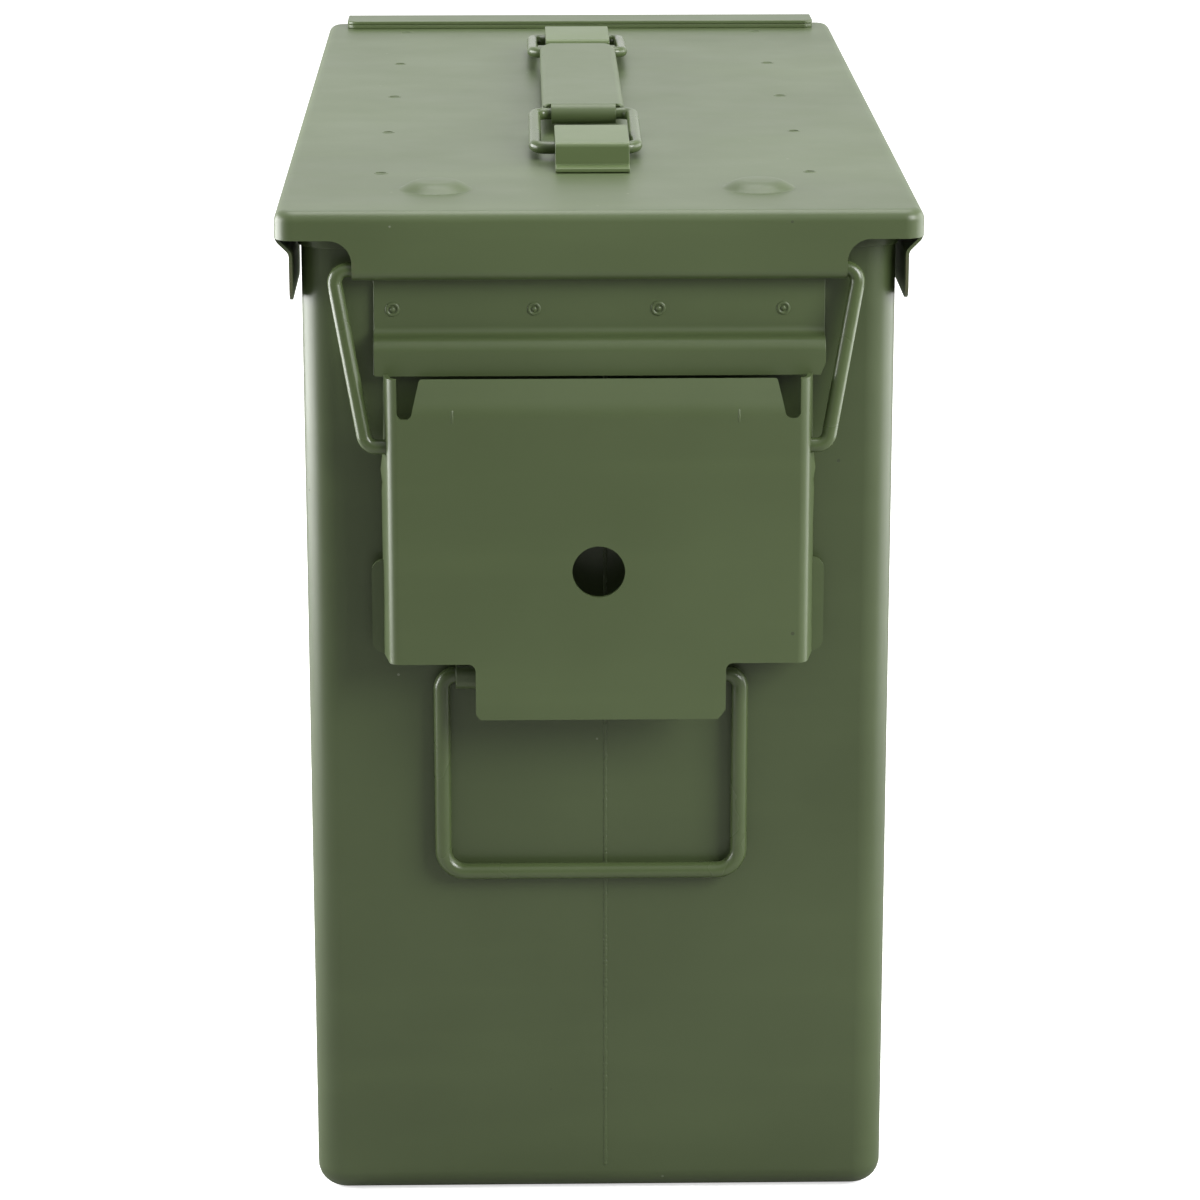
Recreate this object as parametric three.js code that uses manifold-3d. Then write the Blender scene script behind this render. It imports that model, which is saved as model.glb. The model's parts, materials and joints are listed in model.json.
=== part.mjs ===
// A tall steel storage can with a hinged lid, an over-centre lever latch, wire drop handles and a
// folding carry handle. Millimetres, +Z up. The origin is the centre of the base, the latch faces -Y.
import * as THREE from "three";
import { mergeVertices } from "three/addons/utils/BufferGeometryUtils.js";
import Module from "manifold-3d";

const wasm = await Module();
wasm.setup();

// ---- Driving dimensions ----

const seatGap = 0.3; // between pieces that touch
const runGap = 0.3; // between a wire or pin and the metal rolled round it
const arcSteps = 5; // facets in a quarter turn of a bend
const curveSegments = 3; // half the facets in a quarter turn of an outline

const bodyWidth = 205;
const bodyLength = 452;
const bodyHeight = 356.8;
const bodyWall = 1.2;
const bodyCorner = 11;
const baseEdge = 8.5;
const baseLedge = 26; // width of the rim turned in under the base
const panHeight = 13;
const dishInset = 4; // space between the turned rim and the pressed floor
const rimWall = 0.9;
const rimHeight = 8.2;

const lidSideOverhang = 8.5;
const lidSheet = 1.2;
const lidCorner = 7;
const lidEdge = 4;
const skirtDepth = 9.8;
const gasketThickness = 4;
const gasketSideGap = 2.2;
const gasketInset = 4.2; // how far the gasket reaches inside the body wall

const flangeInset = 26.5; // from the lid's sides
const flangeDepth = 24.1; // below the lid's top, to the bottom of the hem
const notchRadius = 8;
const bailWire = 2.6; // radius
const hemSheet = 0.8;
const hemRimGap = 0.4; // behind the hem

const earLength = 54;
const earDepth = 32.5; // below the lid's top
const earSheet = 1.1;
const earJoggle = 5.4;
const earSetback = 8;
const earCorner = 5;

const bumpBase = 13; // radius
const bumpTop = 6; // radius
const bumpHeight = 3.1;
const bumpSpread = 56.5; // from the centre line
const bumpSetback = 45.5; // from the lid's front

const stiffenerInset = 26; // from the body's front and back
const stiffenerSheet = 1.2;
const stiffenerFlange = 14;
const stiffenerDrop = 7.5;
const stiffenerSetback = 26; // of its weld line, from the body's side

const hingeInset = 8.5; // from the lid's sides
const hingeSheet = 1.5;
const hingePinRadius = 2.4;
const hingeDrop = 19; // of the pin, below the lid's top
const leafReach = 21; // over the lid's top
const bracketDrop = 36; // of the body leaf, below the pin
const knuckleWidth = 44;
const knuckleInset = 41; // of the lid's knuckles from the hinge's ends
const knuckleGap = 0.5;
const knuckleSkirt = 6.5; // leaf edge above the pin between the knuckles

const catchLap = 5.3; // past the lever at each side
const catchSheet = 1.5;
const catchPlate = 19.6; // height above the ledge
const catchLip = 13; // height below the ledge
const catchReach = 9.5; // lip in front of the body
const catchBend = 4;
const hemClear = 0.3; // between the hem and the catch

const latchInset = 12.3; // from the flange's ends
const latchSheet = 1.6;
const latchReach = 20; // plate's face in front of the body
const latchHeight = 100.7;
const latchTabWidth = 86.8;
const latchTabDrop = 20.2;
const latchShift = -0.6;
const tongueInset = 12; // from the lever's sides, at its top
const tongueHeight = 11.2;
const tongueLap = 1; // of the tongue past the catch's lower edge
const tongueLean = 5;
const tongueFlare = 4.5;
const slotDrop = 2; // of the slots below the tongue's fold
const slotWidth = 4.5;
const sideBend = 3;
const sideFlare = 2.5;
const sideLipGap = 1.5; // between the sides' upper rear edge and the catch's lip
const sideClear = 4; // rear edge of the sides in front of the body, lower down
const sideNeckDrop = 1; // of the end of the upper edge, below the tongue's fold
const sideSlope = 27; // height of the sloping edge below it
const latchEarHeight = 34;
const latchEarReach = 4;
const holeRadius = 9.1;
const holeRise = 33; // above the lever's bottom

const bailShoulder = 5.8; // corner of the bail past the hem
const bailSideGap = 7; // corner of the bail past the lever
const bailFootDrop = 24.7; // below the lever's top
const bailFootGap = 3.6; // in front of the catch's lip
const bailEnd = 5; // length of wire inside the lever
const bailBend = 4.5;
const bailShift = -1.1;

const dropWire = 2.9; // radius
const dropSpan = 104.6; // between the legs
const dropHeight = 72.8;
const dropBend = 8;
const dropNeckBend = 5;
const dropPivotDrop = 8.5; // below the lever's bottom
const dropShift = -3.1;
const dropEndLength = 26;
const strapSideGap = 5; // to the middle of the handle's legs
const strapSheet = 1.5;
const strapFlange = 7;

const clipWidth = 26.6;
const clipLength = 42;
const clipHeight = 9.5;
const clipSheet = 1.5;
const clipFoot = 9.5;
const frontClipSetback = 84.5; // from the lid's front
const rearClipSetback = 81.5; // from the lid's back
const frontClipShift = -1;
const rearClipShift = -2.6;
const loopWire = 2.25; // radius
const loopSideGap = 2.85; // between a clip and the loop's legs
const loopLength = 59;
const gripRise = 3.2; // of the grip's bars above the clips' bars
const loopBend = 4;
const loopJoint = 0.4; // gap where the wire's ends meet
const loopShift = -3;
const gripSheet = 1.2;
const gripSideGap = 0.65;
const gripSkirt = 4.6;
const gripCorner = 9;
const frontBarSetback = 22.5; // of the front loop's bar, from the front clip's first wall

// ---- Worked-out places ----

const hemRadius = bailWire + runGap + hemSheet / 2; // of the sheet's middle
const hemSize = 2 * hemRadius + hemSheet;
const lidOverhang = seatGap + rimWall + hemRimGap + hemSize; // at the front and back
const lidWidth = bodyWidth + 2 * lidSideOverhang;
const lidLength = bodyLength + 2 * lidOverhang;
const lidUnder = bodyHeight + seatGap + gasketThickness + seatGap;
const lidTop = lidUnder + lidSheet;
const bodyFront = -bodyLength / 2;
const lidFront = -lidLength / 2;
const lidRear = lidLength / 2;
const flangeWidth = lidWidth - 2 * flangeInset;
const hingeWidth = lidWidth - 2 * hingeInset;
const stiffenerLength = bodyLength - 2 * stiffenerInset;
const stiffenerSpread = bodyWidth / 2 - stiffenerSetback;
const hemY = lidFront + hemSize / 2;
const hemZ = lidTop - flangeDepth + hemSize / 2;
const knuckleRadius = hingePinRadius + runGap + hingeSheet / 2;
const hingeY = lidRear + seatGap + knuckleRadius + hingeSheet / 2;
const hingeZ = lidTop - hingeDrop;
const latchFace = bodyFront - latchReach;
const latchWidth = flangeWidth - 2 * latchInset;
const catchWidth = latchWidth + 2 * catchLap;
const catchTop = lidTop - flangeDepth - hemClear;
const catchStep = catchTop - catchPlate;
const catchBottom = catchStep - catchLip;
const latchTop = catchBottom + tongueLap;
const latchFold = latchTop - tongueHeight;
const latchBottom = latchTop - latchHeight;
const holeHeight = latchBottom + holeRise;
const sideNeckHeight = latchFold - sideNeckDrop;
const sideNeckY = bodyFront - catchReach - sideLipGap;
const bailSpread = flangeWidth / 2 + bailShoulder;
const bailFoot = latchWidth / 2 + bailSideGap;
const bailFootHeight = latchTop - bailFootDrop;
const bailFootY = bodyFront - catchReach - bailFootGap;
const dropPivotHeight = latchBottom - dropPivotDrop;
const strapWidth = dropSpan - 2 * strapSideGap;
const dropY = bodyFront - seatGap - runGap - dropWire;
const barHeight = lidTop + seatGap + runGap + gripSheet + loopWire;
const frontClipStart = lidFront + frontClipSetback;
const rearClipStart = lidRear - rearClipSetback - clipLength;
const frontBarY = frontClipStart + frontBarSetback;
const rearBarY = rearClipStart + clipLength - clipSheet - seatGap - loopWire;
const loopTilt = Math.asin(gripRise / loopLength);
const loopReach = loopLength * Math.cos(loopTilt);
const gripBarHeight = barHeight + gripRise;
const loopHalf = clipWidth / 2 + loopSideGap + loopWire;
const gripHalf = loopHalf - loopWire - gripSideGap;

// ---- Finishes ----

const olive = { color: 0x4f5c3b, roughness: 0.5, metalness: 0 };
const oliveWire = { color: 0x4d5a3a, roughness: 0.42, metalness: 0 };
const rubber = { color: 0x1b1b1a, roughness: 0.8, metalness: 0 };
const steel = { color: 0x5a6148, roughness: 0.4, metalness: 0.4 };

// ---- Geometry helpers ----

const point = (x, y) => new THREE.Vector2(x, y);

// A geometry becomes a solid that can be joined and cut.
function solid(geometry) {
  geometry.deleteAttribute("normal");
  geometry.deleteAttribute("uv");
  const merged = mergeVertices(geometry, 1e-4);
  const vertProperties = new Float32Array(merged.attributes.position.array);
  const triVerts = new Uint32Array(merged.index.array);
  return new wasm.Manifold(new wasm.Mesh({ numProp: 3, vertProperties, triVerts }));
}

function geometryOf(body) {
  const { vertProperties, triVerts } = body.getMesh();
  const geometry = new THREE.BufferGeometry();
  geometry.setAttribute("position", new THREE.BufferAttribute(vertProperties, 3));
  geometry.setIndex(new THREE.BufferAttribute(triVerts, 1));
  geometry.computeVertexNormals();
  return geometry;
}

function box(x0, x1, y0, y1, z0, z1) {
  const geometry = new THREE.BoxGeometry(x1 - x0, y1 - y0, z1 - z0);
  geometry.translate((x0 + x1) / 2, (y0 + y1) / 2, (z0 + z1) / 2);
  return solid(geometry);
}

function cylinder(radius, length, segments, turn) {
  const geometry = new THREE.CylinderGeometry(radius, radius, length, segments);
  geometry.applyMatrix4(turn);
  return solid(geometry);
}

// Replaces each inner corner of an open route with an arc of the given radius.
function rounded(corners, radii) {
  const line = [corners[0]];
  for (let i = 1; i < corners.length - 1; i += 1) {
    const into = corners[i].clone().sub(corners[i - 1]).normalize();
    const away = corners[i + 1].clone().sub(corners[i]).normalize();
    const turn = Math.acos(THREE.MathUtils.clamp(into.dot(away), -1, 1));
    const radius = Array.isArray(radii) ? radii[i - 1] : radii;
    const reach = radius * Math.tan(turn / 2);
    const start = corners[i].clone().addScaledVector(into, -reach);
    const inward = away.clone().sub(into.clone().multiplyScalar(into.dot(away))).normalize();
    const centre = start.clone().addScaledVector(inward, radius);
    const steps = Math.max(2, Math.round((arcSteps * turn) / (Math.PI / 2)));
    for (let step = 0; step <= steps; step += 1) {
      const angle = (turn * step) / steps;
      const station = centre.clone().addScaledVector(inward, -radius * Math.cos(angle));
      line.push(station.addScaledVector(into, radius * Math.sin(angle)));
    }
  }
  line.push(corners[corners.length - 1]);
  return line.filter((at, i) => i === 0 || at.distanceTo(line[i - 1]) > 1e-3);
}

function arc(centre, radius, from, to) {
  const steps = Math.ceil((Math.abs(to - from) / 90) * arcSteps);
  const line = [];
  for (let step = 0; step <= steps; step += 1) {
    const angle = THREE.MathUtils.degToRad(from + ((to - from) * step) / steps);
    line.push(point(centre.x + radius * Math.cos(angle), centre.y + radius * Math.sin(angle)));
  }
  return line;
}

// The outline of a folded sheet whose middle follows the line.
function sheetOutline(line, thickness) {
  const one = [];
  const other = [];
  line.forEach((at, i) => {
    const into = at.clone().sub(line[Math.max(i - 1, 0)]);
    const away = line[Math.min(i + 1, line.length - 1)].clone().sub(at);
    if (i === 0) into.copy(away);
    if (i === line.length - 1) away.copy(into);
    into.normalize();
    away.normalize();
    const normal = point(-into.y - away.y, into.x + away.x).normalize();
    const stretch = thickness / 2 / normal.dot(point(-into.y, into.x));
    one.push(at.clone().addScaledVector(normal, stretch));
    other.unshift(at.clone().addScaledVector(normal, -stretch));
  });
  return new THREE.Shape([...one, ...other]);
}

const alongX = new THREE.Matrix4().makeBasis(
  new THREE.Vector3(0, 1, 0),
  new THREE.Vector3(0, 0, 1),
  new THREE.Vector3(1, 0, 0),
);
const alongY = new THREE.Matrix4().makeBasis(
  new THREE.Vector3(1, 0, 0),
  new THREE.Vector3(0, 0, 1),
  new THREE.Vector3(0, -1, 0),
);

// A (Y, Z) outline drawn out in X.
function prismX(shape, width, middle = 0) {
  const settings = { depth: width, bevelEnabled: false, curveSegments };
  const geometry = new THREE.ExtrudeGeometry(shape, settings);
  geometry.translate(0, 0, middle - width / 2);
  return solid(geometry.applyMatrix4(alongX));
}

// An (X, Z) outline drawn out in Y.
function prismY(shape, near, far) {
  const settings = { depth: far - near, bevelEnabled: false, curveSegments };
  const geometry = new THREE.ExtrudeGeometry(shape, settings);
  geometry.translate(0, 0, -far);
  return solid(geometry.applyMatrix4(alongY));
}

function roundedRectangle(width, height, radius, cx = 0, cy = 0) {
  const shape = new THREE.Shape();
  const x = width / 2 - radius;
  const y = height / 2 - radius;
  shape.absarc(cx + x, cy + y, radius, 0, Math.PI / 2);
  shape.absarc(cx - x, cy + y, radius, Math.PI / 2, Math.PI);
  shape.absarc(cx - x, cy - y, radius, Math.PI, Math.PI * 1.5);
  shape.absarc(cx + x, cy - y, radius, Math.PI * 1.5, Math.PI * 2);
  return shape;
}

// An upright block with rounded corners and softened edges, top and bottom.
function block(width, length, corner, edge, bottom, top) {
  const shape = roundedRectangle(width - 2 * edge, length - 2 * edge, corner - edge);
  const settings = {
    depth: top - bottom - 2 * edge,
    bevelThickness: edge,
    bevelSize: edge,
    bevelSegments: 4,
    curveSegments,
  };
  const geometry = new THREE.ExtrudeGeometry(shape, settings);
  geometry.translate(0, 0, bottom + edge);
  return solid(geometry);
}

// A plain upright block with rounded corners.
function slab(width, length, corner, bottom, top) {
  const shape = roundedRectangle(width, length, corner);
  const settings = { depth: top - bottom, bevelEnabled: false, curveSegments };
  const geometry = new THREE.ExtrudeGeometry(shape, settings);
  geometry.translate(0, 0, bottom);
  return solid(geometry);
}

// A wire along a flat route: its stations are in the (x, y) plane of the given matrix.
class FlatRoute extends THREE.Curve {
  constructor(line) {
    super();
    this.line = line.map((at) => new THREE.Vector3(at.x, at.y, 0));
  }

  getSpacedPoints() {
    return this.line;
  }

  computeFrenetFrames() {
    const tangents = this.line.map((at, i) => {
      const before = this.line[Math.max(i - 1, 0)];
      const after = this.line[Math.min(i + 1, this.line.length - 1)];
      return after.clone().sub(before).normalize();
    });
    const up = new THREE.Vector3(0, 0, 1);
    const normals = tangents.map((tangent) => new THREE.Vector3().crossVectors(up, tangent));
    return { tangents, normals, binormals: tangents.map(() => up.clone()) };
  }
}

function wire(line, radius, place) {
  const section = new THREE.Shape();
  section.absarc(0, 0, radius, 0, Math.PI * 2);
  const settings = { steps: line.length - 1, curveSegments: 6, extrudePath: new FlatRoute(line) };
  const geometry = new THREE.ExtrudeGeometry(section, settings);
  return solid(geometry.applyMatrix4(place));
}

const part = new THREE.Group();

function add(name, body, finish) {
  const mesh = new THREE.Mesh(geometryOf(body), new THREE.MeshStandardMaterial(finish));
  mesh.name = name;
  part.add(mesh);
}

// ---- Body ----

function canShell() {
  const far = bodyHeight + 2 * baseEdge;
  const outer = block(bodyWidth, bodyLength, bodyCorner, baseEdge, 0, far);
  const inset = 2 * bodyWall;
  const inner = block(
    bodyWidth - inset,
    bodyLength - inset,
    bodyCorner - bodyWall,
    baseEdge - bodyWall,
    bodyWall,
    far + bodyWall,
  );
  const above = box(-bodyWidth, bodyWidth, -bodyLength, bodyLength, bodyHeight, far + 1);
  const hole = slab(bodyWidth - 2 * baseLedge, bodyLength - 2 * baseLedge, bodyCorner, -1, baseEdge);
  return outer.subtract(inner).subtract(above).subtract(hole);
}

function bottomPan() {
  const inset = bodyWall + seatGap;
  const width = bodyWidth - 2 * inset;
  const length = bodyLength - 2 * inset;
  const corner = bodyCorner - inset;
  const edge = baseEdge - inset;
  const far = panHeight + 2 * edge;
  const dishWidth = bodyWidth - 2 * (baseLedge + dishInset);
  const dishLength = bodyLength - 2 * (baseLedge + dishInset);
  const tray = block(width, length, corner, edge, inset, far);
  const dish = slab(dishWidth, dishLength, bodyCorner, 0, inset + edge);
  const trayHollow = block(
    width - 2 * bodyWall,
    length - 2 * bodyWall,
    corner - bodyWall,
    edge - bodyWall,
    inset + bodyWall,
    far + 1,
  );
  const dishHollow = slab(
    dishWidth - 2 * bodyWall,
    dishLength - 2 * bodyWall,
    bodyCorner - bodyWall,
    bodyWall,
    inset + edge + 1,
  );
  const above = box(-width, width, -length, length, panHeight, far + 2);
  return tray.add(dish).subtract(trayHollow).subtract(dishHollow).subtract(above);
}

function topRim() {
  const gap = 2 * seatGap;
  const grow = 2 * (seatGap + rimWall);
  const low = bodyHeight - rimHeight;
  const outer = slab(
    bodyWidth + grow,
    bodyLength + grow,
    bodyCorner + seatGap + rimWall,
    low,
    bodyHeight,
  );
  const inner = slab(bodyWidth + gap, bodyLength + gap, bodyCorner + seatGap, low - 1, bodyHeight + 1);
  return outer.subtract(inner);
}

function latchCatch() {
  const plateY = bodyFront - seatGap - catchSheet / 2;
  const lipY = bodyFront - catchReach + catchSheet / 2;
  const corners = [
    point(plateY, catchTop),
    point(plateY, catchStep - catchSheet / 2),
    point(lipY, catchStep - catchSheet / 2),
    point(lipY, catchBottom),
  ];
  const bends = [catchBend, (plateY - lipY) - catchBend];
  return prismX(sheetOutline(rounded(corners, bends), catchSheet), catchWidth);
}

// A hat-section strap that holds a wire against a wall at the given height.
function handleStrap(facing) {
  const wallY = bodyFront - seatGap;
  const hump = dropWire + runGap + strapSheet / 2;
  const flangeY = wallY - strapSheet / 2;
  const corners = [
    point(flangeY, dropPivotHeight + hump + strapFlange),
    point(flangeY, dropPivotHeight + hump),
    point(dropY - hump, dropPivotHeight + hump),
    point(dropY - hump, dropPivotHeight - hump),
    point(flangeY, dropPivotHeight - hump),
    point(flangeY, dropPivotHeight - hump - strapSheet),
  ];
  const bends = [strapSheet * 0.6, hump * 0.7, hump * 0.7, strapSheet * 0.6];
  const strap = prismX(sheetOutline(rounded(corners, bends), strapSheet), strapWidth, dropShift);
  return facing > 0 ? strap.mirror([0, 1, 0]) : strap;
}

function dropHandle(facing) {
  const half = dropSpan / 2;
  const corners = [
    point(-half + dropEndLength, 0),
    point(-half, 0),
    point(-half, -dropHeight),
    point(half, -dropHeight),
    point(half, 0),
    point(half - dropEndLength, 0),
  ];
  const line = rounded(corners, [dropNeckBend, dropBend, dropBend, dropNeckBend]);
  const place = alongY.clone().setPosition(dropShift, dropY, dropPivotHeight);
  const handle = wire(line, dropWire, place);
  return facing > 0 ? handle.mirror([0, 1, 0]) : handle;
}

// ---- Hinge ----

// X ranges of the lid's knuckles; the body's lie between and beside them.
const lidKnuckles = [-1, 1].map((side) => {
  const middle = side * (hingeWidth / 2 - knuckleInset - knuckleWidth / 2);
  return [middle - knuckleWidth / 2, middle + knuckleWidth / 2];
});

function hingeBracket() {
  const plateY = bodyLength / 2 + seatGap + hingeSheet / 2;
  const pin = point(hingeY, hingeZ);
  const corners = [
    point(plateY, hingeZ - bracketDrop),
    point(plateY, hingeZ - knuckleRadius),
    point(hingeY, hingeZ - knuckleRadius),
  ];
  const curl = arc(pin, knuckleRadius, -90, 190);
  const line = [...rounded(corners, 3).slice(0, -1), ...curl];
  let leaf = prismX(sheetOutline(line, hingeSheet), hingeWidth);
  const nearY = hingeY - knuckleRadius - hingeSheet / 2 - knuckleGap * 2;
  for (const [from, to] of lidKnuckles) {
    const x0 = from - knuckleGap;
    const x1 = to + knuckleGap;
    leaf = leaf.subtract(box(x0, x1, nearY, hingeY + 10, hingeZ - 9, hingeZ + 9));
  }
  return leaf;
}

function lidHingeLeaf() {
  const layer = lidTop + seatGap + hingeSheet * 1.5;
  const backY = lidRear + seatGap + hingeSheet / 2;
  const corners = [
    point(lidRear - leafReach, layer),
    point(backY, layer),
    point(backY, hingeZ),
  ];
  const curl = arc(point(hingeY, hingeZ), knuckleRadius, 180, 440);
  const line = [...rounded(corners, hingeSheet * 1.4).slice(0, -1), ...curl];
  const folded = prismX(sheetOutline(line, hingeSheet), hingeWidth);
  const under = box(
    -hingeWidth / 2,
    hingeWidth / 2,
    lidRear - leafReach,
    lidRear - lidEdge,
    lidTop + seatGap,
    layer,
  );
  let leaf = folded.add(under);
  const edges = [-hingeWidth, ...lidKnuckles.flat(), hingeWidth];
  for (let i = 0; i < edges.length; i += 2) {
    leaf = leaf.subtract(
      box(edges[i], edges[i + 1], lidRear, hingeY + 10, hingeZ - 9, hingeZ + knuckleSkirt),
    );
  }
  return leaf;
}

function hingePin() {
  const turn = new THREE.Matrix4().makeRotationZ(Math.PI / 2).setPosition(0, hingeY, hingeZ);
  return cylinder(hingePinRadius, hingeWidth + 2, 20, turn);
}

// ---- Lid ----

function lidEar(side) {
  const outX = lidWidth / 2 - earSheet / 2;
  const inX = outX - earJoggle;
  const low = lidTop - skirtDepth;
  const corners = [
    point(side * outX, low + 3),
    point(side * outX, low - 1),
    point(side * inX, low - 1 - earJoggle),
    point(side * inX, lidTop - earDepth),
  ];
  const near = lidFront + earSetback;
  const strip = prismY(sheetOutline(rounded(corners, 2.5), earSheet), near, near + earLength);
  const middleY = near + earLength / 2;
  const tall = earDepth * 2;
  const face = roundedRectangle(earLength, tall, earCorner, middleY, lidTop - earDepth + tall / 2);
  return strip.intersect(prismX(face, lidWidth + 2));
}

// The front flange: a plate with quarter-round shoulders.
function frontFlange() {
  const half = flangeWidth / 2;
  const shoulder = lidTop - skirtDepth;
  const top = shoulder + 2;
  const shape = new THREE.Shape();
  shape.moveTo(-half - notchRadius, top);
  shape.lineTo(-half - notchRadius, shoulder);
  shape.absarc(-half - notchRadius, shoulder - notchRadius, notchRadius, Math.PI / 2, 0, true);
  shape.lineTo(-half, hemZ);
  shape.lineTo(half, hemZ);
  shape.lineTo(half, shoulder - notchRadius);
  shape.absarc(half + notchRadius, shoulder - notchRadius, notchRadius, Math.PI, Math.PI / 2, true);
  shape.lineTo(half + notchRadius, top);
  const plate = prismY(shape, lidFront, lidFront + (hemSheet + lidSheet) / 2);
  const curl = arc(point(hemY, hemZ), hemRadius, 180, 500);
  const line = [point(hemY - hemRadius, hemZ + hemRadius), ...curl];
  return plate.add(prismX(sheetOutline(line, hemSheet), flangeWidth));
}

function bump(side, lower) {
  const z = lower ? lidUnder - 1 : lidTop - lidSheet / 2;
  const height = lower ? bumpHeight + 1 : bumpHeight + lidSheet / 2;
  const thin = lower ? lidSheet : 0;
  const profile = [
    point(0, 0),
    point(bumpBase - thin, 0),
    point(bumpBase - thin, height - bumpHeight),
    point(bumpTop - thin / 2, height - 0.3),
    point(bumpTop - thin / 2 - 1, height),
    point(0, height),
  ];
  const geometry = new THREE.LatheGeometry(profile, 24);
  const upright = new THREE.Matrix4().makeRotationX(Math.PI / 2);
  upright.setPosition(side * bumpSpread, lidFront + bumpSetback, z);
  return solid(geometry.applyMatrix4(upright));
}

function lidShell() {
  const low = lidTop - skirtDepth;
  const far = low - 3 * lidEdge;
  const outer = block(lidWidth, lidLength, lidCorner, lidEdge, far, lidTop);
  const inset = 2 * lidSheet;
  const inner = block(
    lidWidth - inset,
    lidLength - inset,
    lidCorner - lidSheet,
    lidEdge - lidSheet,
    far - 1,
    lidUnder,
  );
  const below = box(-lidWidth, lidWidth, -lidLength, lidLength, far - 2, low);
  let lid = outer.subtract(inner).subtract(below);
  lid = lid.add(frontFlange());
  for (const side of [-1, 1]) {
    lid = lid.add(lidEar(side)).add(bump(side, false)).subtract(bump(side, true));
  }
  return lid;
}

function stiffener(side) {
  const top = lidUnder - seatGap;
  const inner = stiffenerSpread - stiffenerFlange / 2;
  const outer = stiffenerSpread + stiffenerFlange / 2;
  const middle = top - stiffenerSheet / 2;
  const corners = [
    point(side * inner, middle),
    point(side * outer, middle),
    point(side * outer, top - stiffenerDrop),
  ];
  const outline = sheetOutline(rounded(corners, 1.5), stiffenerSheet);
  return prismY(outline, -stiffenerLength / 2, stiffenerLength / 2);
}

function lidGasket() {
  const gap = 2 * (lidSheet + gasketSideGap);
  const thin = 2 * (bodyWall + gasketInset);
  const low = bodyHeight + seatGap;
  const high = low + gasketThickness;
  const outer = slab(lidWidth - gap, lidLength - gap, lidCorner, low, high);
  const inner = slab(bodyWidth - thin, bodyLength - thin, bodyCorner - bodyWall, low - 1, high + 1);
  return outer.subtract(inner);
}

// ---- Latch ----

function bailOutline() {
  const drop = Math.hypot(hemY - bailFootY, hemZ - bailFootHeight);
  const end = latchWidth / 2 - bailEnd - latchSheet;
  const corners = [
    point(-end, -drop),
    point(-bailFoot, -drop),
    point(-bailSpread, 0),
    point(bailSpread, 0),
    point(bailFoot, -drop),
    point(end, -drop),
  ];
  return rounded(corners, [bailBend, bailBend, bailBend, bailBend]);
}

function bail() {
  const up = new THREE.Vector3(0, hemY - bailFootY, hemZ - bailFootHeight).normalize();
  const across = new THREE.Vector3(1, 0, 0);
  const place = new THREE.Matrix4().makeBasis(across, up, across.clone().cross(up));
  place.setPosition(bailShift, hemY, hemZ);
  return wire(bailOutline(), bailWire, place);
}

// Section of the lever's plate and sides, seen from above.
function latchSection() {
  const half = latchWidth / 2 - latchSheet / 2;
  const faceY = latchFace + latchSheet / 2;
  const rearY = bodyFront - sideClear;
  const line = rounded(
    [
      point(-half - sideFlare, rearY),
      point(-half, faceY),
      point(half, faceY),
      point(half + sideFlare, rearY),
    ],
    sideBend,
  );
  return sheetOutline(line, latchSheet);
}

function latchSides() {
  const top = latchTop - 1;
  const shape = new THREE.Shape([
    point(latchFace - 1, latchBottom),
    point(bodyFront - sideClear + 1, latchBottom),
    point(bodyFront - sideClear + 1, sideNeckHeight - sideSlope),
    point(sideNeckY, sideNeckHeight),
    point(sideNeckY, top),
    point(latchFace - 1, top),
  ]);
  return prismX(shape, latchWidth * 2);
}

function latchTongue() {
  const faceY = latchFace + latchSheet / 2;
  const line = rounded(
    [
      point(faceY, latchFold - 4),
      point(faceY, latchFold),
      point(faceY + tongueLean, latchTop),
    ],
    6,
  );
  const half = latchWidth / 2 - tongueInset;
  const outline = new THREE.Shape([
    point(-half - tongueFlare, latchFold - 4),
    point(half + tongueFlare, latchFold - 4),
    point(half + tongueFlare, latchFold),
    point(half, latchTop + 1),
    point(-half, latchTop + 1),
    point(-half - tongueFlare, latchFold),
  ]);
  const leaning = prismX(sheetOutline(line, latchSheet), latchWidth);
  return leaning.intersect(prismY(outline, latchFace - 5, bodyFront));
}

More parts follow.
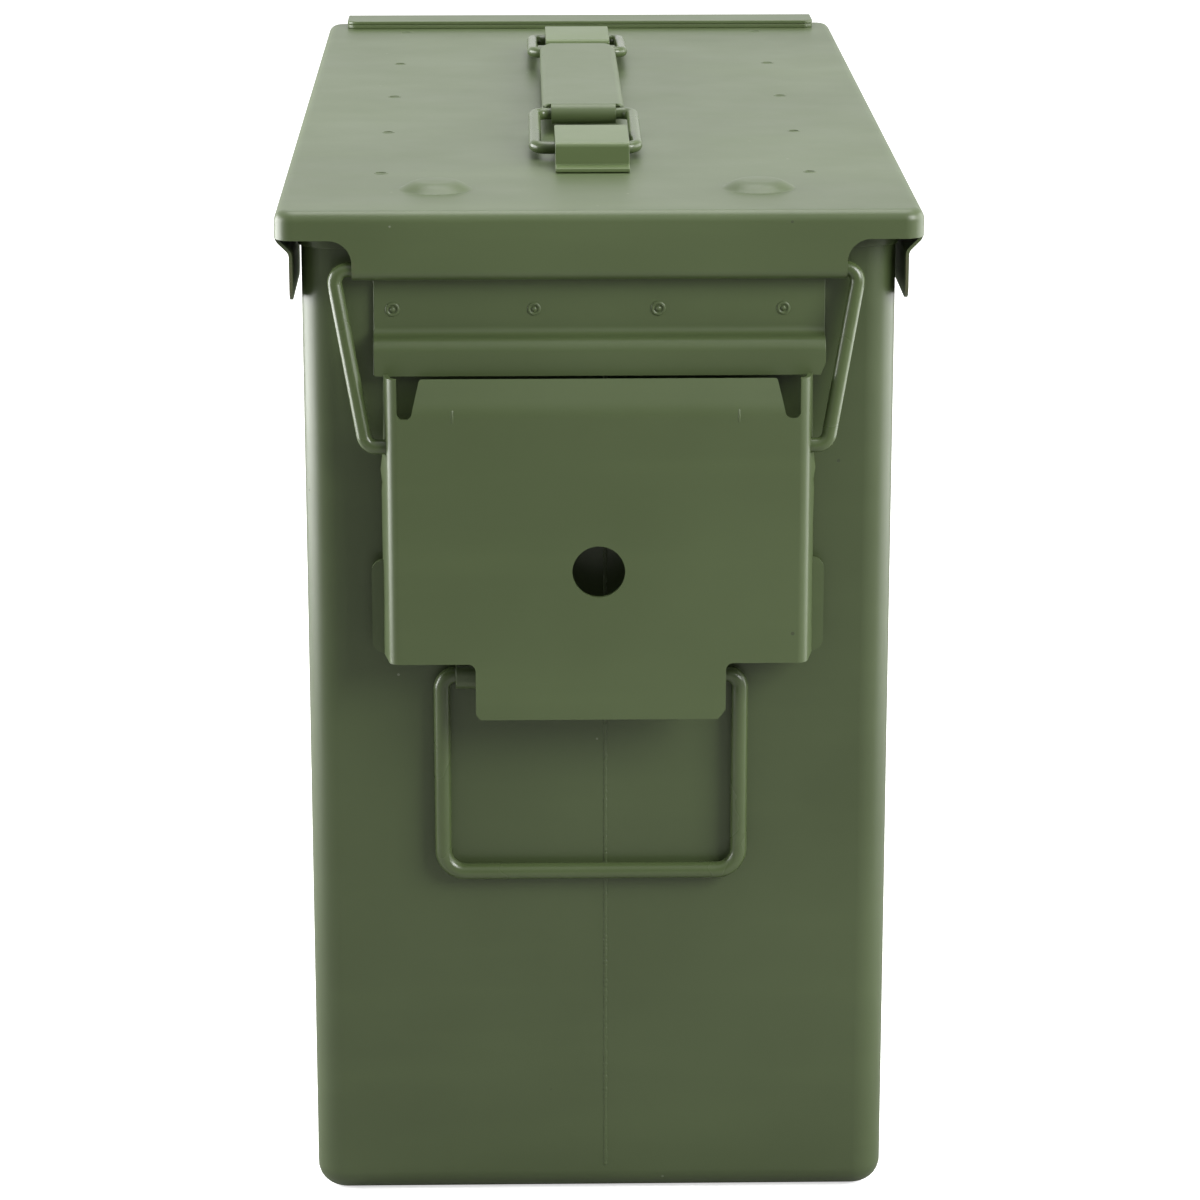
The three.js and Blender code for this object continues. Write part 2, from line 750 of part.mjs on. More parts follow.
function latchLever() {
  const section = new THREE.ExtrudeGeometry(latchSection(), {
    depth: latchTop - latchBottom,
    bevelEnabled: false,
  });
  section.translate(0, 0, latchBottom);
  let lever = solid(section).intersect(latchSides());

  const innerX = latchWidth / 2 - sideBend;
  const slotX = innerX - slotWidth;
  const tongueZone = box(-slotX, slotX, latchFace - 1, latchFace + sideBend, latchFold - 2, latchTop);
  lever = lever.subtract(tongueZone).add(latchTongue());
  for (const side of [-1, 1]) {
    const x0 = side < 0 ? -innerX : slotX;
    const x1 = side < 0 ? -slotX : innerX;
    lever = lever.subtract(box(x0, x1, latchFace - 1, latchFace + sideBend, latchFold - slotDrop, latchTop));
  }

  const tab = roundedRectangle(latchTabWidth, latchTabDrop * 2, 1.8, 0.7, latchBottom);
  lever = lever.add(prismY(tab, latchFace, latchFace + latchSheet));

  const reach = latchWidth / 2 + sideFlare;
  for (const side of [-1, 1]) {
    const x0 = side < 0 ? -reach - latchEarReach : reach - latchSheet;
    const x1 = side < 0 ? -reach + latchSheet : reach + latchEarReach;
    const rearY = bodyFront - sideClear;
    const top = latchBottom + latchEarHeight;
    lever = lever.add(box(x0, x1, rearY - latchSheet, rearY - 0.2, latchBottom, top));
  }

  const across = new THREE.Matrix4().setPosition(0, latchFace, holeHeight);
  lever = lever.subtract(cylinder(holeRadius, 8, 32, across));
  const pivot = new THREE.Matrix4().makeRotationZ(Math.PI / 2);
  pivot.setPosition(0, bailFootY, bailFootHeight);
  lever = lever.subtract(cylinder(bailWire + runGap, latchWidth + 30, 20, pivot));
  return lever.translate([latchShift, 0, 0]);
}

// ---- Carry handle ----

function clip(start, shift) {
  const middle = lidTop + seatGap + clipSheet / 2;
  const top = lidTop + clipHeight - clipSheet / 2;
  const near = start + clipSheet / 2;
  const far = start + clipLength - clipSheet / 2;
  const corners = [
    point(near - clipFoot, middle),
    point(near, middle),
    point(near, top),
    point(far, top),
    point(far, middle),
    point(far + clipFoot, middle),
  ];
  const line = rounded(corners, [1.2, 1.2, 1.2, 1.2]);
  return prismX(sheetOutline(line, clipSheet), clipWidth, shift);
}

// A closed rectangular loop, up towards the grip, whose wire ends meet in the clip's bar.
function loop(barY, facing) {
  const far = facing * loopLength;
  const corners = [
    point(loopJoint / 2, 0),
    point(loopHalf, 0),
    point(loopHalf, far),
    point(-loopHalf, far),
    point(-loopHalf, 0),
    point(-loopJoint / 2, 0),
  ];
  const place = new THREE.Matrix4().makeRotationX(facing * loopTilt);
  place.setPosition(loopShift, barY, barHeight);
  return wire(rounded(corners, loopBend), loopWire, place);
}

function carryGrip() {
  const near = frontBarY + loopReach;
  const far = rearBarY - loopReach;
  const roll = loopWire + runGap + gripSheet / 2;
  const line = [
    ...arc(point(near, gripBarHeight), roll, 380, 90),
    ...arc(point(far, gripBarHeight), roll, 90, -200),
  ];
  const topZ = gripBarHeight + roll;
  const rollHalf = loopHalf - loopWire - loopBend;
  const strip = prismX(sheetOutline(line, gripSheet), rollHalf * 2, loopShift);
  const reach = roll + gripSheet / 2;
  const length = far - near + 2 * reach;
  const plan = roundedRectangle(gripHalf * 2, length, gripCorner, loopShift, (near + far) / 2);
  const settings = { depth: gripSkirt, bevelEnabled: false, curveSegments };
  const cap = new THREE.ExtrudeGeometry(plan, settings);
  cap.translate(0, 0, topZ + gripSheet / 2 - gripSkirt);
  const inside = roundedRectangle(
    (gripHalf - gripSheet) * 2,
    length,
    gripCorner - gripSheet,
    loopShift,
    (near + far) / 2,
  );
  const hollow = new THREE.ExtrudeGeometry(inside, { ...settings, depth: gripSkirt + 2 });
  hollow.translate(0, 0, topZ - gripSheet / 2 - gripSkirt - 2);
  const clear = reach + loopWire;
  const ends = [near, far].map((y) => {
    const low = topZ - gripSkirt - gripSheet;
    return box(-lidWidth, lidWidth, y - clear, y + clear, low, topZ - gripSheet / 2);
  });
  const channel = solid(cap).subtract(solid(hollow)).subtract(ends[0]).subtract(ends[1]);
  const between = box(-lidWidth, lidWidth, near, far, lidTop, lidTop + 40);
  return channel.intersect(between).add(strip);
}

// ---- Assembly ----

add("can_shell", canShell(), olive);
add("bottom_pan", bottomPan(), olive);
add("top_rim", topRim(), olive);
add("latch_catch", latchCatch(), olive);
add("front_handle_bracket", handleStrap(-1), olive);
add("rear_handle_bracket", handleStrap(1), olive);
add("front_drop_handle", dropHandle(-1), oliveWire);
add("rear_drop_handle", dropHandle(1), oliveWire);
add("hinge_bracket", hingeBracket(), olive);
add("hinge_pin", hingePin(), steel);
add("lid_shell", lidShell(), olive);
add("lid_hinge_leaf", lidHingeLeaf(), olive);
add("lid_stiffener_left", stiffener(-1), olive);
add("lid_stiffener_right", stiffener(1), olive);
add("lid_gasket", lidGasket(), rubber);
add("front_clip", clip(frontClipStart, frontClipShift), olive);
add("rear_clip", clip(rearClipStart, rearClipShift), olive);
add("front_loop", loop(frontBarY, 1), oliveWire);
add("rear_loop", loop(rearBarY, -1), oliveWire);
add("carry_grip", carryGrip(), olive);
add("bail_wire", bail(), oliveWire);
add("latch_lever", latchLever(), olive);

export default part;
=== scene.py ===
import json
import math

import bmesh
import bpy
from mathutils import Matrix, Vector

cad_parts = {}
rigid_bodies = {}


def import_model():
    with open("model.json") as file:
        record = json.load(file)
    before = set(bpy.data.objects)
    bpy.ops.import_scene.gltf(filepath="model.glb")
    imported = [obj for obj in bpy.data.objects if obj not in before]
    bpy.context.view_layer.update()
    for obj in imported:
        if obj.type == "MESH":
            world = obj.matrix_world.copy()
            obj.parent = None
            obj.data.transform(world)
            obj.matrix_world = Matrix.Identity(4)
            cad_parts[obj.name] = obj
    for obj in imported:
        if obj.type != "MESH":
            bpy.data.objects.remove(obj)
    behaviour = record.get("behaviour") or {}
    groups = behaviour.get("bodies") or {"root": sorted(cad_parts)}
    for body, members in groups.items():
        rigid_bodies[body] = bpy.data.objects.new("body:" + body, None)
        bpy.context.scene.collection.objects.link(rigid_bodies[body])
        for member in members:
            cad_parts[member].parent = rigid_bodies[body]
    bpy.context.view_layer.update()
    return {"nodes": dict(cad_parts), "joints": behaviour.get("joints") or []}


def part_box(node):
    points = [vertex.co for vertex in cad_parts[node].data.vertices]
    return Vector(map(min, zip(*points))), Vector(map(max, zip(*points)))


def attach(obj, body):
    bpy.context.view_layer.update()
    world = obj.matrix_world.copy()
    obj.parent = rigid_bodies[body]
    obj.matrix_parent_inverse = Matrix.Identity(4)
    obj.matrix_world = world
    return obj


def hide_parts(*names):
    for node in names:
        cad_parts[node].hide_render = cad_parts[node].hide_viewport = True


# A tall steel storage can of painted sheet and wire.
# Sizes are in millimetres, and pieceFrom scales each mesh to metres.

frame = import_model()
print("frame loaded:", len(frame["nodes"]), "CAD nodes")

gap = 0.3  # between pieces that touch
mm = 0.001


def placeOf(node):
    low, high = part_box(node)
    return low / mm, high / mm


# Where a joint's axis passes, in millimetres.
axes = {joint["name"]: Vector(joint["pos_m"]) / mm for joint in frame["joints"]}


def fillet(points, radii, closed=False, steps=7):
    points = [Vector(p) for p in points]
    count = len(points)
    radii = radii if isinstance(radii, (list, tuple)) else [radii] * count
    line = []
    for i, corner in enumerate(points):
        into = corner - points[i - 1]
        away = points[(i + 1) % count] - corner
        turn = into.angle(away, 0)
        if (not closed and i in (0, count - 1)) or radii[i] <= 0 or turn < 1e-3:
            line.append(corner)
            continue
        into.normalize()
        away.normalize()
        start = corner - into * radii[i] * math.tan(turn / 2)
        inward = (away - into * into.dot(away)).normalized()
        pieces = max(2, round(steps * turn / (math.pi / 2)))
        for k in range(pieces + 1):
            angle = turn * k / pieces
            step = inward * (1 - math.cos(angle)) + into * math.sin(angle)
            line.append(start + step * radii[i])
    kept = [line[0]]
    for p in line[1:]:
        if (p - kept[-1]).length > 1e-3:
            kept.append(p)
    return kept


def arc(centre, radius, start, end, steps=9):
    pieces = max(2, math.ceil(abs(end - start) / 90 * steps))
    angles = [math.radians(start + (end - start) * k / pieces) for k in range(pieces + 1)]
    return [Vector((centre[0] + radius * math.cos(a), centre[1] + radius * math.sin(a))) for a in angles]


def rectangle(x0, x1, y0, y1):
    return [(x0, y0), (x1, y0), (x1, y1), (x0, y1)]


# Where a flat point lies when its outline is drawn out along an axis.
lay = {
    "x": lambda p, t: Vector((t, p[0], p[1])),
    "y": lambda p, t: Vector((p[0], t, p[1])),
    "z": lambda p, t: Vector((p[0], p[1], t)),
}


def pieceFrom(name, bm):
    bmesh.ops.remove_doubles(bm, verts=bm.verts, dist=1e-4)
    bmesh.ops.dissolve_degenerate(bm, edges=bm.edges, dist=1e-4)
    bmesh.ops.recalc_face_normals(bm, faces=bm.faces)
    bmesh.ops.scale(bm, vec=(mm, mm, mm), verts=bm.verts)
    mesh = bpy.data.meshes.new(name)
    bm.to_mesh(mesh)
    bm.free()
    piece = bpy.data.objects.new(name, mesh)
    bpy.context.scene.collection.objects.link(piece)
    return piece


# Rings of points joined in order: round on themselves, or capped at both ends.
def loft(name, rings, closed=False):
    bm = bmesh.new()
    rows = [[bm.verts.new(p) for p in ring] for ring in rings]
    size = len(rows[0])
    pairs = list(zip(rows, rows[1:])) + ([(rows[-1], rows[0])] if closed else [])
    for a, b in pairs:
        for i in range(size):
            j = (i + 1) % size
            bm.faces.new((a[i], a[j], b[j], b[i]))
    if not closed:
        bm.faces.new(rows[0][::-1])
        bm.faces.new(rows[-1])
    return pieceFrom(name, bm)


def prism(name, outline, axis, start, end):
    return loft(name, [[lay[axis](p, t) for p in outline] for t in (start, end)])


# A folded sheet whose middle follows the line, drawn out along one axis.
def foldedSheet(name, line, thickness, axis, *levels):
    line = [Vector(p) for p in line]
    last = len(line) - 1
    one, other = [], []
    for i, p in enumerate(line):
        into = (p - line[i - 1] if i else line[1] - p).normalized()
        away = (line[i + 1] - p if i < last else p - line[i - 1]).normalized()
        normal = Vector((-into.y - away.y, into.x + away.x)).normalized()
        stretch = thickness / 2 / normal.dot(Vector((-into.y, into.x)))
        one.append(p + normal * stretch)
        other.append(p - normal * stretch)
    bm = bmesh.new()
    grid = [[[bm.verts.new(lay[axis](p, t)) for p in side] for side in (one, other)] for t in levels]
    for a, b in zip(grid, grid[1:]):
        for side in (0, 1):
            for i in range(last):
                bm.faces.new((a[side][i], a[side][i + 1], b[side][i + 1], b[side][i]))
        for i in (0, last):
            bm.faces.new((a[0][i], a[1][i], b[1][i], b[0][i]))
    for row in (grid[0], grid[-1]):
        for i in range(last):
            bm.faces.new((row[0][i], row[0][i + 1], row[1][i + 1], row[1][i]))
    return pieceFrom(name, bm)


def roundedRing(width, length, radius, z, cx=0, cy=0, steps=8):
    ring = []
    for k, (sx, sy) in enumerate([(1, 1), (-1, 1), (-1, -1), (1, -1)]):
        centre = (cx + sx * (width / 2 - radius), cy + sy * (length / 2 - radius))
        ring += [Vector((p.x, p.y, z)) for p in arc(centre, radius, 90 * k, 90 * k + 90, steps)]
    return ring


# Rings of a rounded box from (inset, height) stations. The corners shrink as the inset grows.
def boxRings(width, length, corner, stations, least=0.6):
    return [
        roundedRing(width - 2 * p[0], length - 2 * p[0], max(corner - p[0], least), p[1])
        for p in stations
    ]


# A round wire along a flat route. The plane is given by where its two axes and its origin lie.
def wire(name, route, radius, origin, across, up, sides=20):
    route = [Vector(p) for p in route]
    across, up, origin = Vector(across), Vector(up), Vector(origin)
    out = across.cross(up)
    last = len(route) - 1
    rings = []
    for i, p in enumerate(route):
        into = route[i] - route[i - 1] if i else route[1] - route[0]
        away = route[i + 1] - route[i] if i < last else route[i] - route[i - 1]
        along = (into.normalized() + away.normalized()).normalized()
        side = Vector((-along.y, along.x))
        stretch = 1 / max(0.5, along.dot(into.normalized()))
        ends = [(0.55, 0.72), (0.22, 0.94)] if i in (0, last) else []
        spots = [(0, 1)]
        if i == 0:
            spots = [(-s, r) for s, r in ends] + spots
        if i == last:
            spots = spots + [(s, r) for s, r in reversed(ends)]
        for shift, size in spots:
            centre = p + along * shift * radius
            ring = []
            for k in range(sides):
                angle = 2 * math.pi * k / sides
                flat = centre + side * radius * size * stretch * math.cos(angle)
                lift = out * radius * size * math.sin(angle)
                ring.append(origin + across * flat.x + up * flat.y + lift)
            rings.append(ring)
    return loft(name, rings)


def turned(name, profile, centre, axis="z", steps=40):
    rings = []
    for radius, height in profile:
        ring = []
        for k in range(steps):
            a = 2 * math.pi * k / steps
            flat = (radius * math.cos(a), radius * math.sin(a))
            ring.append(Vector(centre) + lay[axis](flat, height))
        rings.append(ring)
    return loft(name, rings)


def settle(piece):
    bpy.context.view_layer.update()
    seen = piece.evaluated_get(bpy.context.evaluated_depsgraph_get())
    made = bpy.data.meshes.new_from_object(seen)
    piece.modifiers.clear()
    piece.data = made
    return piece


def carve(piece, tools, operation="DIFFERENCE"):
    for tool in tools:
        change = piece.modifiers.new(operation.lower(), "BOOLEAN")
        change.operation = operation
        change.solver = "EXACT"
        change.object = tool
    settle(piece)
    for tool in tools:
        bpy.data.objects.remove(tool)
    return piece


def join(piece, others):
    bm = bmesh.new()
    bm.from_mesh(piece.data)
    for other in others:
        bm.from_mesh(other.data)
        bpy.data.objects.remove(other)
    bm.to_mesh(piece.data)
    bm.free()
    return piece


# Moves every point of a mesh by a rule on millimetres.
def shape(piece, rule):
    for v in piece.data.vertices:
        v.co = rule(v.co / mm) * mm
    return piece


def finish(piece, body, node, finishOf, edge=0.3, angle=34):
    mesh = piece.data
    mesh.materials.clear()
    mesh.materials.append(finishOf)
    mesh.shade_smooth()
    if edge:
        soften = piece.modifiers.new("softEdges", "BEVEL")
        soften.width = edge * mm
        soften.segments = 2
        soften.limit_method = "ANGLE"
        soften.angle_limit = math.radians(angle)
        soften.miter_outer = "MITER_ARC"
    even = piece.modifiers.new("evenShading", "WEIGHTED_NORMAL")
    even.keep_sharp = True
    settle(piece)
    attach(piece, body)
    if node:
        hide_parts(node)
    return piece


class Value:
    def __init__(self, recipe, socket):
        self.recipe = recipe
        self.socket = socket

    def sum(self, operation, *values):
        return self.recipe.node("ShaderNodeMath", {"operation": operation}, dict(enumerate(values)))

    def __add__(self, other):
        return self.sum("ADD", self, other)

    def __sub__(self, other):
        return self.sum("SUBTRACT", self, other)

    def __rsub__(self, other):
        return self.sum("SUBTRACT", other, self)

    def __mul__(self, other):
        return self.sum("MULTIPLY", self, other)

    def __gt__(self, other):
        return self.sum("GREATER_THAN", self, other)

    def __lt__(self, other):
        return self.sum("LESS_THAN", self, other)

    def part(self, axis):
        return self.recipe.node("ShaderNodeSeparateXYZ", {}, {0: self}, axis)

    __radd__ = __add__
    __rmul__ = __mul__


class Recipe:
    def __init__(self, name):
        self.material = bpy.data.materials.new(name)
        self.material.use_nodes = True
        self.tree = self.material.node_tree
        self.tree.nodes.clear()
        self.place = self.node("ShaderNodeTexCoord", {}, {}, "Object")

    def node(self, kind, settings, sockets, output=0):
        made = self.tree.nodes.new(kind)
        for key, value in settings.items():
            if key == "stops":
                ramp = made.color_ramp.elements
                while len(ramp) < len(value):
                    ramp.new(1)
                for element, (at, colour) in zip(ramp, value):
                    element.position = at
                    element.color = colour
            else:
                setattr(made, key, value)
        for key, value in sockets.items():
            if isinstance(value, Value):
                self.tree.links.new(value.socket, made.inputs[key])
            else:
                made.inputs[key].default_value = value
        return made if output is None else Value(self, made.outputs[output])

    def noise(self, scale, detail=2.0, stretch=(1, 1, 1), output="Fac"):
        place = self.node("ShaderNodeMapping", {}, {"Vector": self.place, "Scale": stretch})
        return self.node(
            "ShaderNodeTexNoise", {}, {"Vector": place, "Scale": scale, "Detail": detail}, output
        )

    def band(self, value, low, high):
        sockets = {"Value": value, "From Min": low, "From Max": high}
        return self.node("ShaderNodeMapRange", {"interpolation_type": "SMOOTHSTEP"}, sockets)

    def blend(self, share, first, second):
        first, second = [c if isinstance(c, Value) else (*c, 1) for c in (first, second)]
        return self.node(
            "ShaderNodeMix", {"data_type": "RGBA"}, {"Factor": share, 6: first, 7: second}, 2
        )

    def specks(self, scale, seedShift):
        shift = (seedShift, seedShift, seedShift)
        moved = self.node("ShaderNodeMapping", {}, {"Vector": self.place, "Location": shift})
        cells = {"Vector": moved, "Scale": scale}
        near = self.node("ShaderNodeTexVoronoi", {}, cells, "Distance")
        pick = self.node("ShaderNodeTexVoronoi", {}, cells, "Color").part(0)
        return near, pick

    def bump(self, height, strength, distance, normal=None):
        sockets = {"Height": height, "Strength": strength, "Distance": distance}
        if normal:
            sockets["Normal"] = normal
        return self.node("ShaderNodeBump", {}, sockets)

    def surface(self, colour, roughness, normal, metallic=0.0, specular=0.5):
        sockets = {
            "Base Color": colour,
            "Roughness": roughness,
            "Metallic": metallic,
            "Normal": normal,
            "Specular IOR Level": specular,
        }
        shader = self.node("ShaderNodeBsdfPrincipled", {}, sockets)
        end = self.tree.nodes.new("ShaderNodeOutputMaterial")
        self.tree.links.new(shader.socket, end.inputs["Surface"])
        return self.material


paint = {
    "deep": (0.053, 0.075, 0.027),
    "pale": (0.062, 0.087, 0.033),
    "speck": (0.20, 0.22, 0.16),
    "pit": (0.020, 0.026, 0.012),
    "rust": (0.075, 0.055, 0.034),
    "roughness": 0.40,
}


# Satin paint on sheet: a cloudy tone, an orange-peel skin, and a few caught specks and pits.
# tone scales every colour of the paint: a darker copy is painted shade, a lighter copy is painted light.
def olivePaint(name, tone=1.0, roughness=paint["roughness"], peel=1.0, worn=None):
    r = Recipe(name)
    cloud = r.noise(9, 3)
    deep = tuple(c * tone for c in paint["deep"])
    pale = tuple(c * tone for c in paint["pale"])
    colour = r.blend(r.band(cloud, 0.3, 0.7), deep, pale)
    streak = r.noise(60, 2, (0.12, 1, 1))
    colour = r.blend(r.band(streak, 0.45, 0.8) * 0.22, colour, tuple(c * 1.25 for c in pale))
    near, pick = r.specks(85, 0.0)
    dust = (near < 0.045) * (pick > 0.86)
    colour = r.blend(dust * 0.55, colour, paint["speck"])
    nearPit, pickPit = r.specks(60, 3.7)
    pit = (nearPit < 0.04) * (pickPit > 0.9)
    colour = r.blend(pit * 0.6, colour, paint["pit"])
    if worn:
        mask = worn(r)
        colour = r.blend(mask, colour, paint["rust"])
    skin = r.noise(900, 2)
    rough = roughness - 0.05 + r.noise(30, 3) * 0.1 + pit * 0.2
    wave = r.bump(r.noise(26, 2), 0.03, 0.001)
    fine = r.bump(skin, 0.055 * peel, 0.0002, wave)
    lump = r.bump(dust - pit, 0.35, 0.0001, fine)
    return r.surface(colour, rough, lump)


def gasketRubber():
    r = Recipe("gasketRubber")
    colour = r.blend(r.noise(40, 3), (0.010, 0.010, 0.009), (0.020, 0.020, 0.018))
    dusty = r.band(r.noise(220, 2), 0.62, 0.8)
    colour = r.blend(dusty * 0.4, colour, (0.05, 0.05, 0.045))
    return r.surface(colour, 0.72 + dusty * 0.15, r.bump(r.noise(1400, 2), 0.2, 0.0002))


def pinSteel():
    r = Recipe("pinSteel")
    colour = r.blend(r.noise(80, 3), (0.050, 0.066, 0.034), (0.070, 0.085, 0.050))
    bare = r.band(r.noise(160, 3, (0.2, 1, 1)), 0.62, 0.72)
    colour = r.blend(bare, colour, (0.32, 0.31, 0.28))
    normal = r.bump(r.noise(500, 2, (0.1, 1, 1)), 0.2, 0.0002)
    return r.surface(colour, 0.42 - bare * 0.1, normal, metallic=bare * 0.8)


# Brown showing through at the ends of the rolled hem.
def hemRust(r):
    x = r.place.part(0)
    away = x.sum("ABSOLUTE", x)
    low = r.band(r.place.part(2), 0.3505, 0.342)
    front = r.band(r.place.part(1), -0.222, -0.226)
    patch = r.band(r.noise(420, 3) + r.band(away, 0.078, 0.089) * 0.5, 0.78, 1.05)
    return patch * low * front * 0.45


sheetPaint = olivePaint("sheetPaint")
lidPaint = olivePaint("lidPaint", worn=hemRust)
# The can's copy is darker all over: painted shade on the body, base pan, rim and seam weld.
shadedCanPaint = olivePaint("shadedCanPaint", tone=0.82)
# The clips' copy is lighter all over: painted light.
litClipPaint = olivePaint("litClipPaint", tone=1.3)
wirePaint = olivePaint("wirePaint", tone=0.98, roughness=0.27, peel=0.6)
rubber = gasketRubber()
steelPin = pinSteel()
print("finishes made")

can = {"wall": 1.2, "corner": 11, "baseEdge": 8.5, "ledge": 26, "lip": 0.5}
canHigh = placeOf("can_shell")[1]
canWidth, canLength, canTop = canHigh.x * 2, canHigh.y * 2, canHigh.z
canFront = -canLength / 2


def canStations():
    wall, ledge, edge, lip = can["wall"], can["ledge"], can["baseEdge"], can["lip"]
    corners = [(ledge, 0), (0, 0), (0, canTop), (wall, canTop), (wall, wall), (ledge, wall)]
    return fillet(corners, [0, edge, lip, lip, edge - wall, 0], closed=True, steps=10)


def canRing(p):
    inset = p[0]
    corner = can["corner"]
    radius = corner - inset if inset <= can["baseEdge"] else max(2, corner * inset / can["ledge"])
    return roundedRing(canWidth - 2 * inset, canLength - 2 * inset, radius, p[1], steps=12)


canWall = loft("canWall", [canRing(p) for p in canStations()], closed=True)
finish(canWall, "body", "can_shell", shadedCanPaint, edge=0)

pan = {"inset": 1.5, "wall": 1.2, "top": 13, "edge": 7.0, "dish": 30, "underside": 40, "inside": 42}
stations = fillet(
    [
        (pan["underside"], 0),
        (pan["dish"], 0),
        (pan["dish"], pan["inset"]),
        (pan["inset"], pan["inset"]),
        (pan["inset"], pan["top"]),
        (pan["inset"] + pan["wall"], pan["top"]),
        (pan["inset"] + pan["wall"], pan["inset"] + pan["wall"]),
        (pan["dish"] + pan["wall"], pan["inset"] + pan["wall"]),
        (pan["dish"] + pan["wall"], pan["wall"]),
        (pan["inside"], pan["wall"]),
    ],
    [0, 0.6, 0.6, pan["edge"], 0.5, 0.5, pan["edge"] - pan["wall"], 0.6, 0.6, 0],
)
basePan = loft("basePan", boxRings(canWidth, canLength, can["corner"], stations, least=3))
finish(basePan, "body", "bottom_pan", shadedCanPaint, edge=0)

rim = {"thickness": 0.9, "height": 8.2, "edge": 0.42}
stations = fillet(
    rectangle(-gap - rim["thickness"], -gap, canTop - rim["height"], canTop), rim["edge"], closed=True
)
rings = [
    roundedRing(canWidth - 2 * p[0], canLength - 2 * p[0], can["corner"] - p[0], p[1], steps=12)
    for p in stations
]
mouthBand = loft("mouthBand", rings, closed=True)
finish(mouthBand, "body", "top_rim", shadedCanPaint, edge=0)
print("can made")

catch = {"sheet": 1.5, "plate": 19.6, "bend": 4.0, "leftNick": 1.6, "rightNick": 2.2}
catchLow, catchHigh = placeOf("latch_catch")
catchMiddle = catchHigh.z - catch["plate"] - catch["sheet"] / 2
catchPlateY = catchHigh.y - catch["sheet"] / 2
catchLipY = catchLow.y + catch["sheet"] / 2
line = fillet(
    [
        (catchPlateY, catchHigh.z),
        (catchPlateY, catchMiddle),
        (catchLipY, catchMiddle),
        (catchLipY, catchLow.z),
    ],
    [0, catch["bend"], catchPlateY - catchLipY - catch["bend"], 0],
    steps=10,
)
catchPlate = foldedSheet("catchPlate", line, catch["sheet"], "x", catchLow.x, catchHigh.x)
under = catchLow.z - 1
left, right = catchLow.x - 1, catchHigh.x + 1
leftNick, rightNick = catch["leftNick"], catch["rightNick"]
leftTrim = [(left, under), (catchLow.x + leftNick, under), (left, catchLow.z + leftNick)]
rightTrim = [(right, under), (catchHigh.x - rightNick, under), (right, catchLow.z + 3 * rightNick)]
carve(catchPlate, [prism("trim", trim, "y", -250, -220) for trim in (leftTrim, rightTrim)])
finish(catchPlate, "body", "latch_catch", sheetPaint, edge=0.3)

strap = {"sheet": 1.5, "flange": 7}
dropHandle = {"bend": 8, "neck": 5, "end": 26, "sides": 24}


def mirrored(piece):
    piece.data.transform(Matrix.Scale(-1, 4, (0, 1, 0)))
    piece.data.flip_normals()
    return piece


def makeStrap(name, node, facing):
    low, high = placeOf(node)
    sheet = strap["sheet"]
    nearWall = min(abs(low.y), abs(high.y)) + sheet / 2
    crown = max(abs(low.y), abs(high.y)) - sheet / 2
    handleLow, handleHigh = placeOf(node.replace("handle_bracket", "drop_handle"))
    wireRadius = (handleHigh.y - handleLow.y) / 2
    pivot = handleHigh.z - wireRadius
    hump = wireRadius + gap + sheet / 2
    corners = [
        (-nearWall, high.z),
        (-nearWall, pivot + hump),
        (-crown, pivot + hump),
        (-crown, pivot - hump),
        (-nearWall, pivot - hump),
        (-nearWall, low.z),
    ]
    line = fillet(corners, [0, sheet * 0.6, hump * 0.8, hump * 0.8, sheet * 0.6, 0])
    made = foldedSheet(name, line, sheet, "x", low.x, high.x)
    return mirrored(made) if facing > 0 else made


def makeDropHandle(name, node, facing):
    low, high = placeOf(node)
    radius = (high.y - low.y) / 2
    half = (high.x - low.x) / 2 - radius
    middle = (high.x + low.x) / 2
    away = (abs(low.y) + abs(high.y)) / 2
    height = high.z - low.z - 2 * radius
    end = dropHandle["end"]
    corners = [
        (-half + end, 0),
        (-half, 0),
        (-half, -height),
        (half, -height),
        (half, 0),
        (half - end, 0),
    ]
    bend, neck = dropHandle["bend"], dropHandle["neck"]
    route = fillet(corners, [0, neck, bend, bend, neck, 0], steps=12)
    origin = (middle, -away, high.z - radius)
    made = wire(name, route, radius, origin, (1, 0, 0), (0, 0, 1), dropHandle["sides"])
    return mirrored(made) if facing > 0 else made


for side, facing in (("front", -1), ("rear", 1)):
    made = makeStrap(side + "Strap", side + "_handle_bracket", facing)
    finish(made, "body", side + "_handle_bracket", sheetPaint, edge=0.25)
    made = makeDropHandle(side + "DropHandle", side + "_drop_handle", facing)
    finish(made, side + "_handle", side + "_drop_handle", wirePaint, edge=0)
print("catch and drop handles made")

hinge = {
    "sheet": 1.5,
    "knuckle": 44,
    "inset": 41,
    "gap": 0.5,
    "footBend": 2.2,
    "curlStart": 2.3,
    "skirt": 6.5,
    "corner": 4,
    "underSetback": 2.6,
}
pinLow, pinHigh = placeOf("hinge_pin")
pinRadius = (pinHigh.z - pinLow.z) / 2
pinY, pinZ = (pinLow.y + pinHigh.y) / 2, (pinLow.z + pinHigh.z) / 2
curlRadius = pinRadius + gap + hinge["sheet"] / 2
hingeLow, hingeHigh = placeOf("hinge_bracket")
hingeEnd = hingeHigh.x
lidKnuckles = []
for side in (-1, 1):
    middle = side * (hingeEnd - hinge["inset"] - hinge["knuckle"] / 2)
    lidKnuckles.append((middle - hinge["knuckle"] / 2, middle + hinge["knuckle"] / 2))


def hingeLeafOf(name, plate, curl, ranges, plan=None):
    made = foldedSheet(name, plate, hinge["sheet"], "x", -hingeEnd, hingeEnd)
    if plan:
        carve(made, [prism("plan", plan, "z", 100, 500)], "INTERSECT")
    curls = [foldedSheet("curl", curl, hinge["sheet"], "x", a, b) for a, b in ranges]
    return join(made, curls)


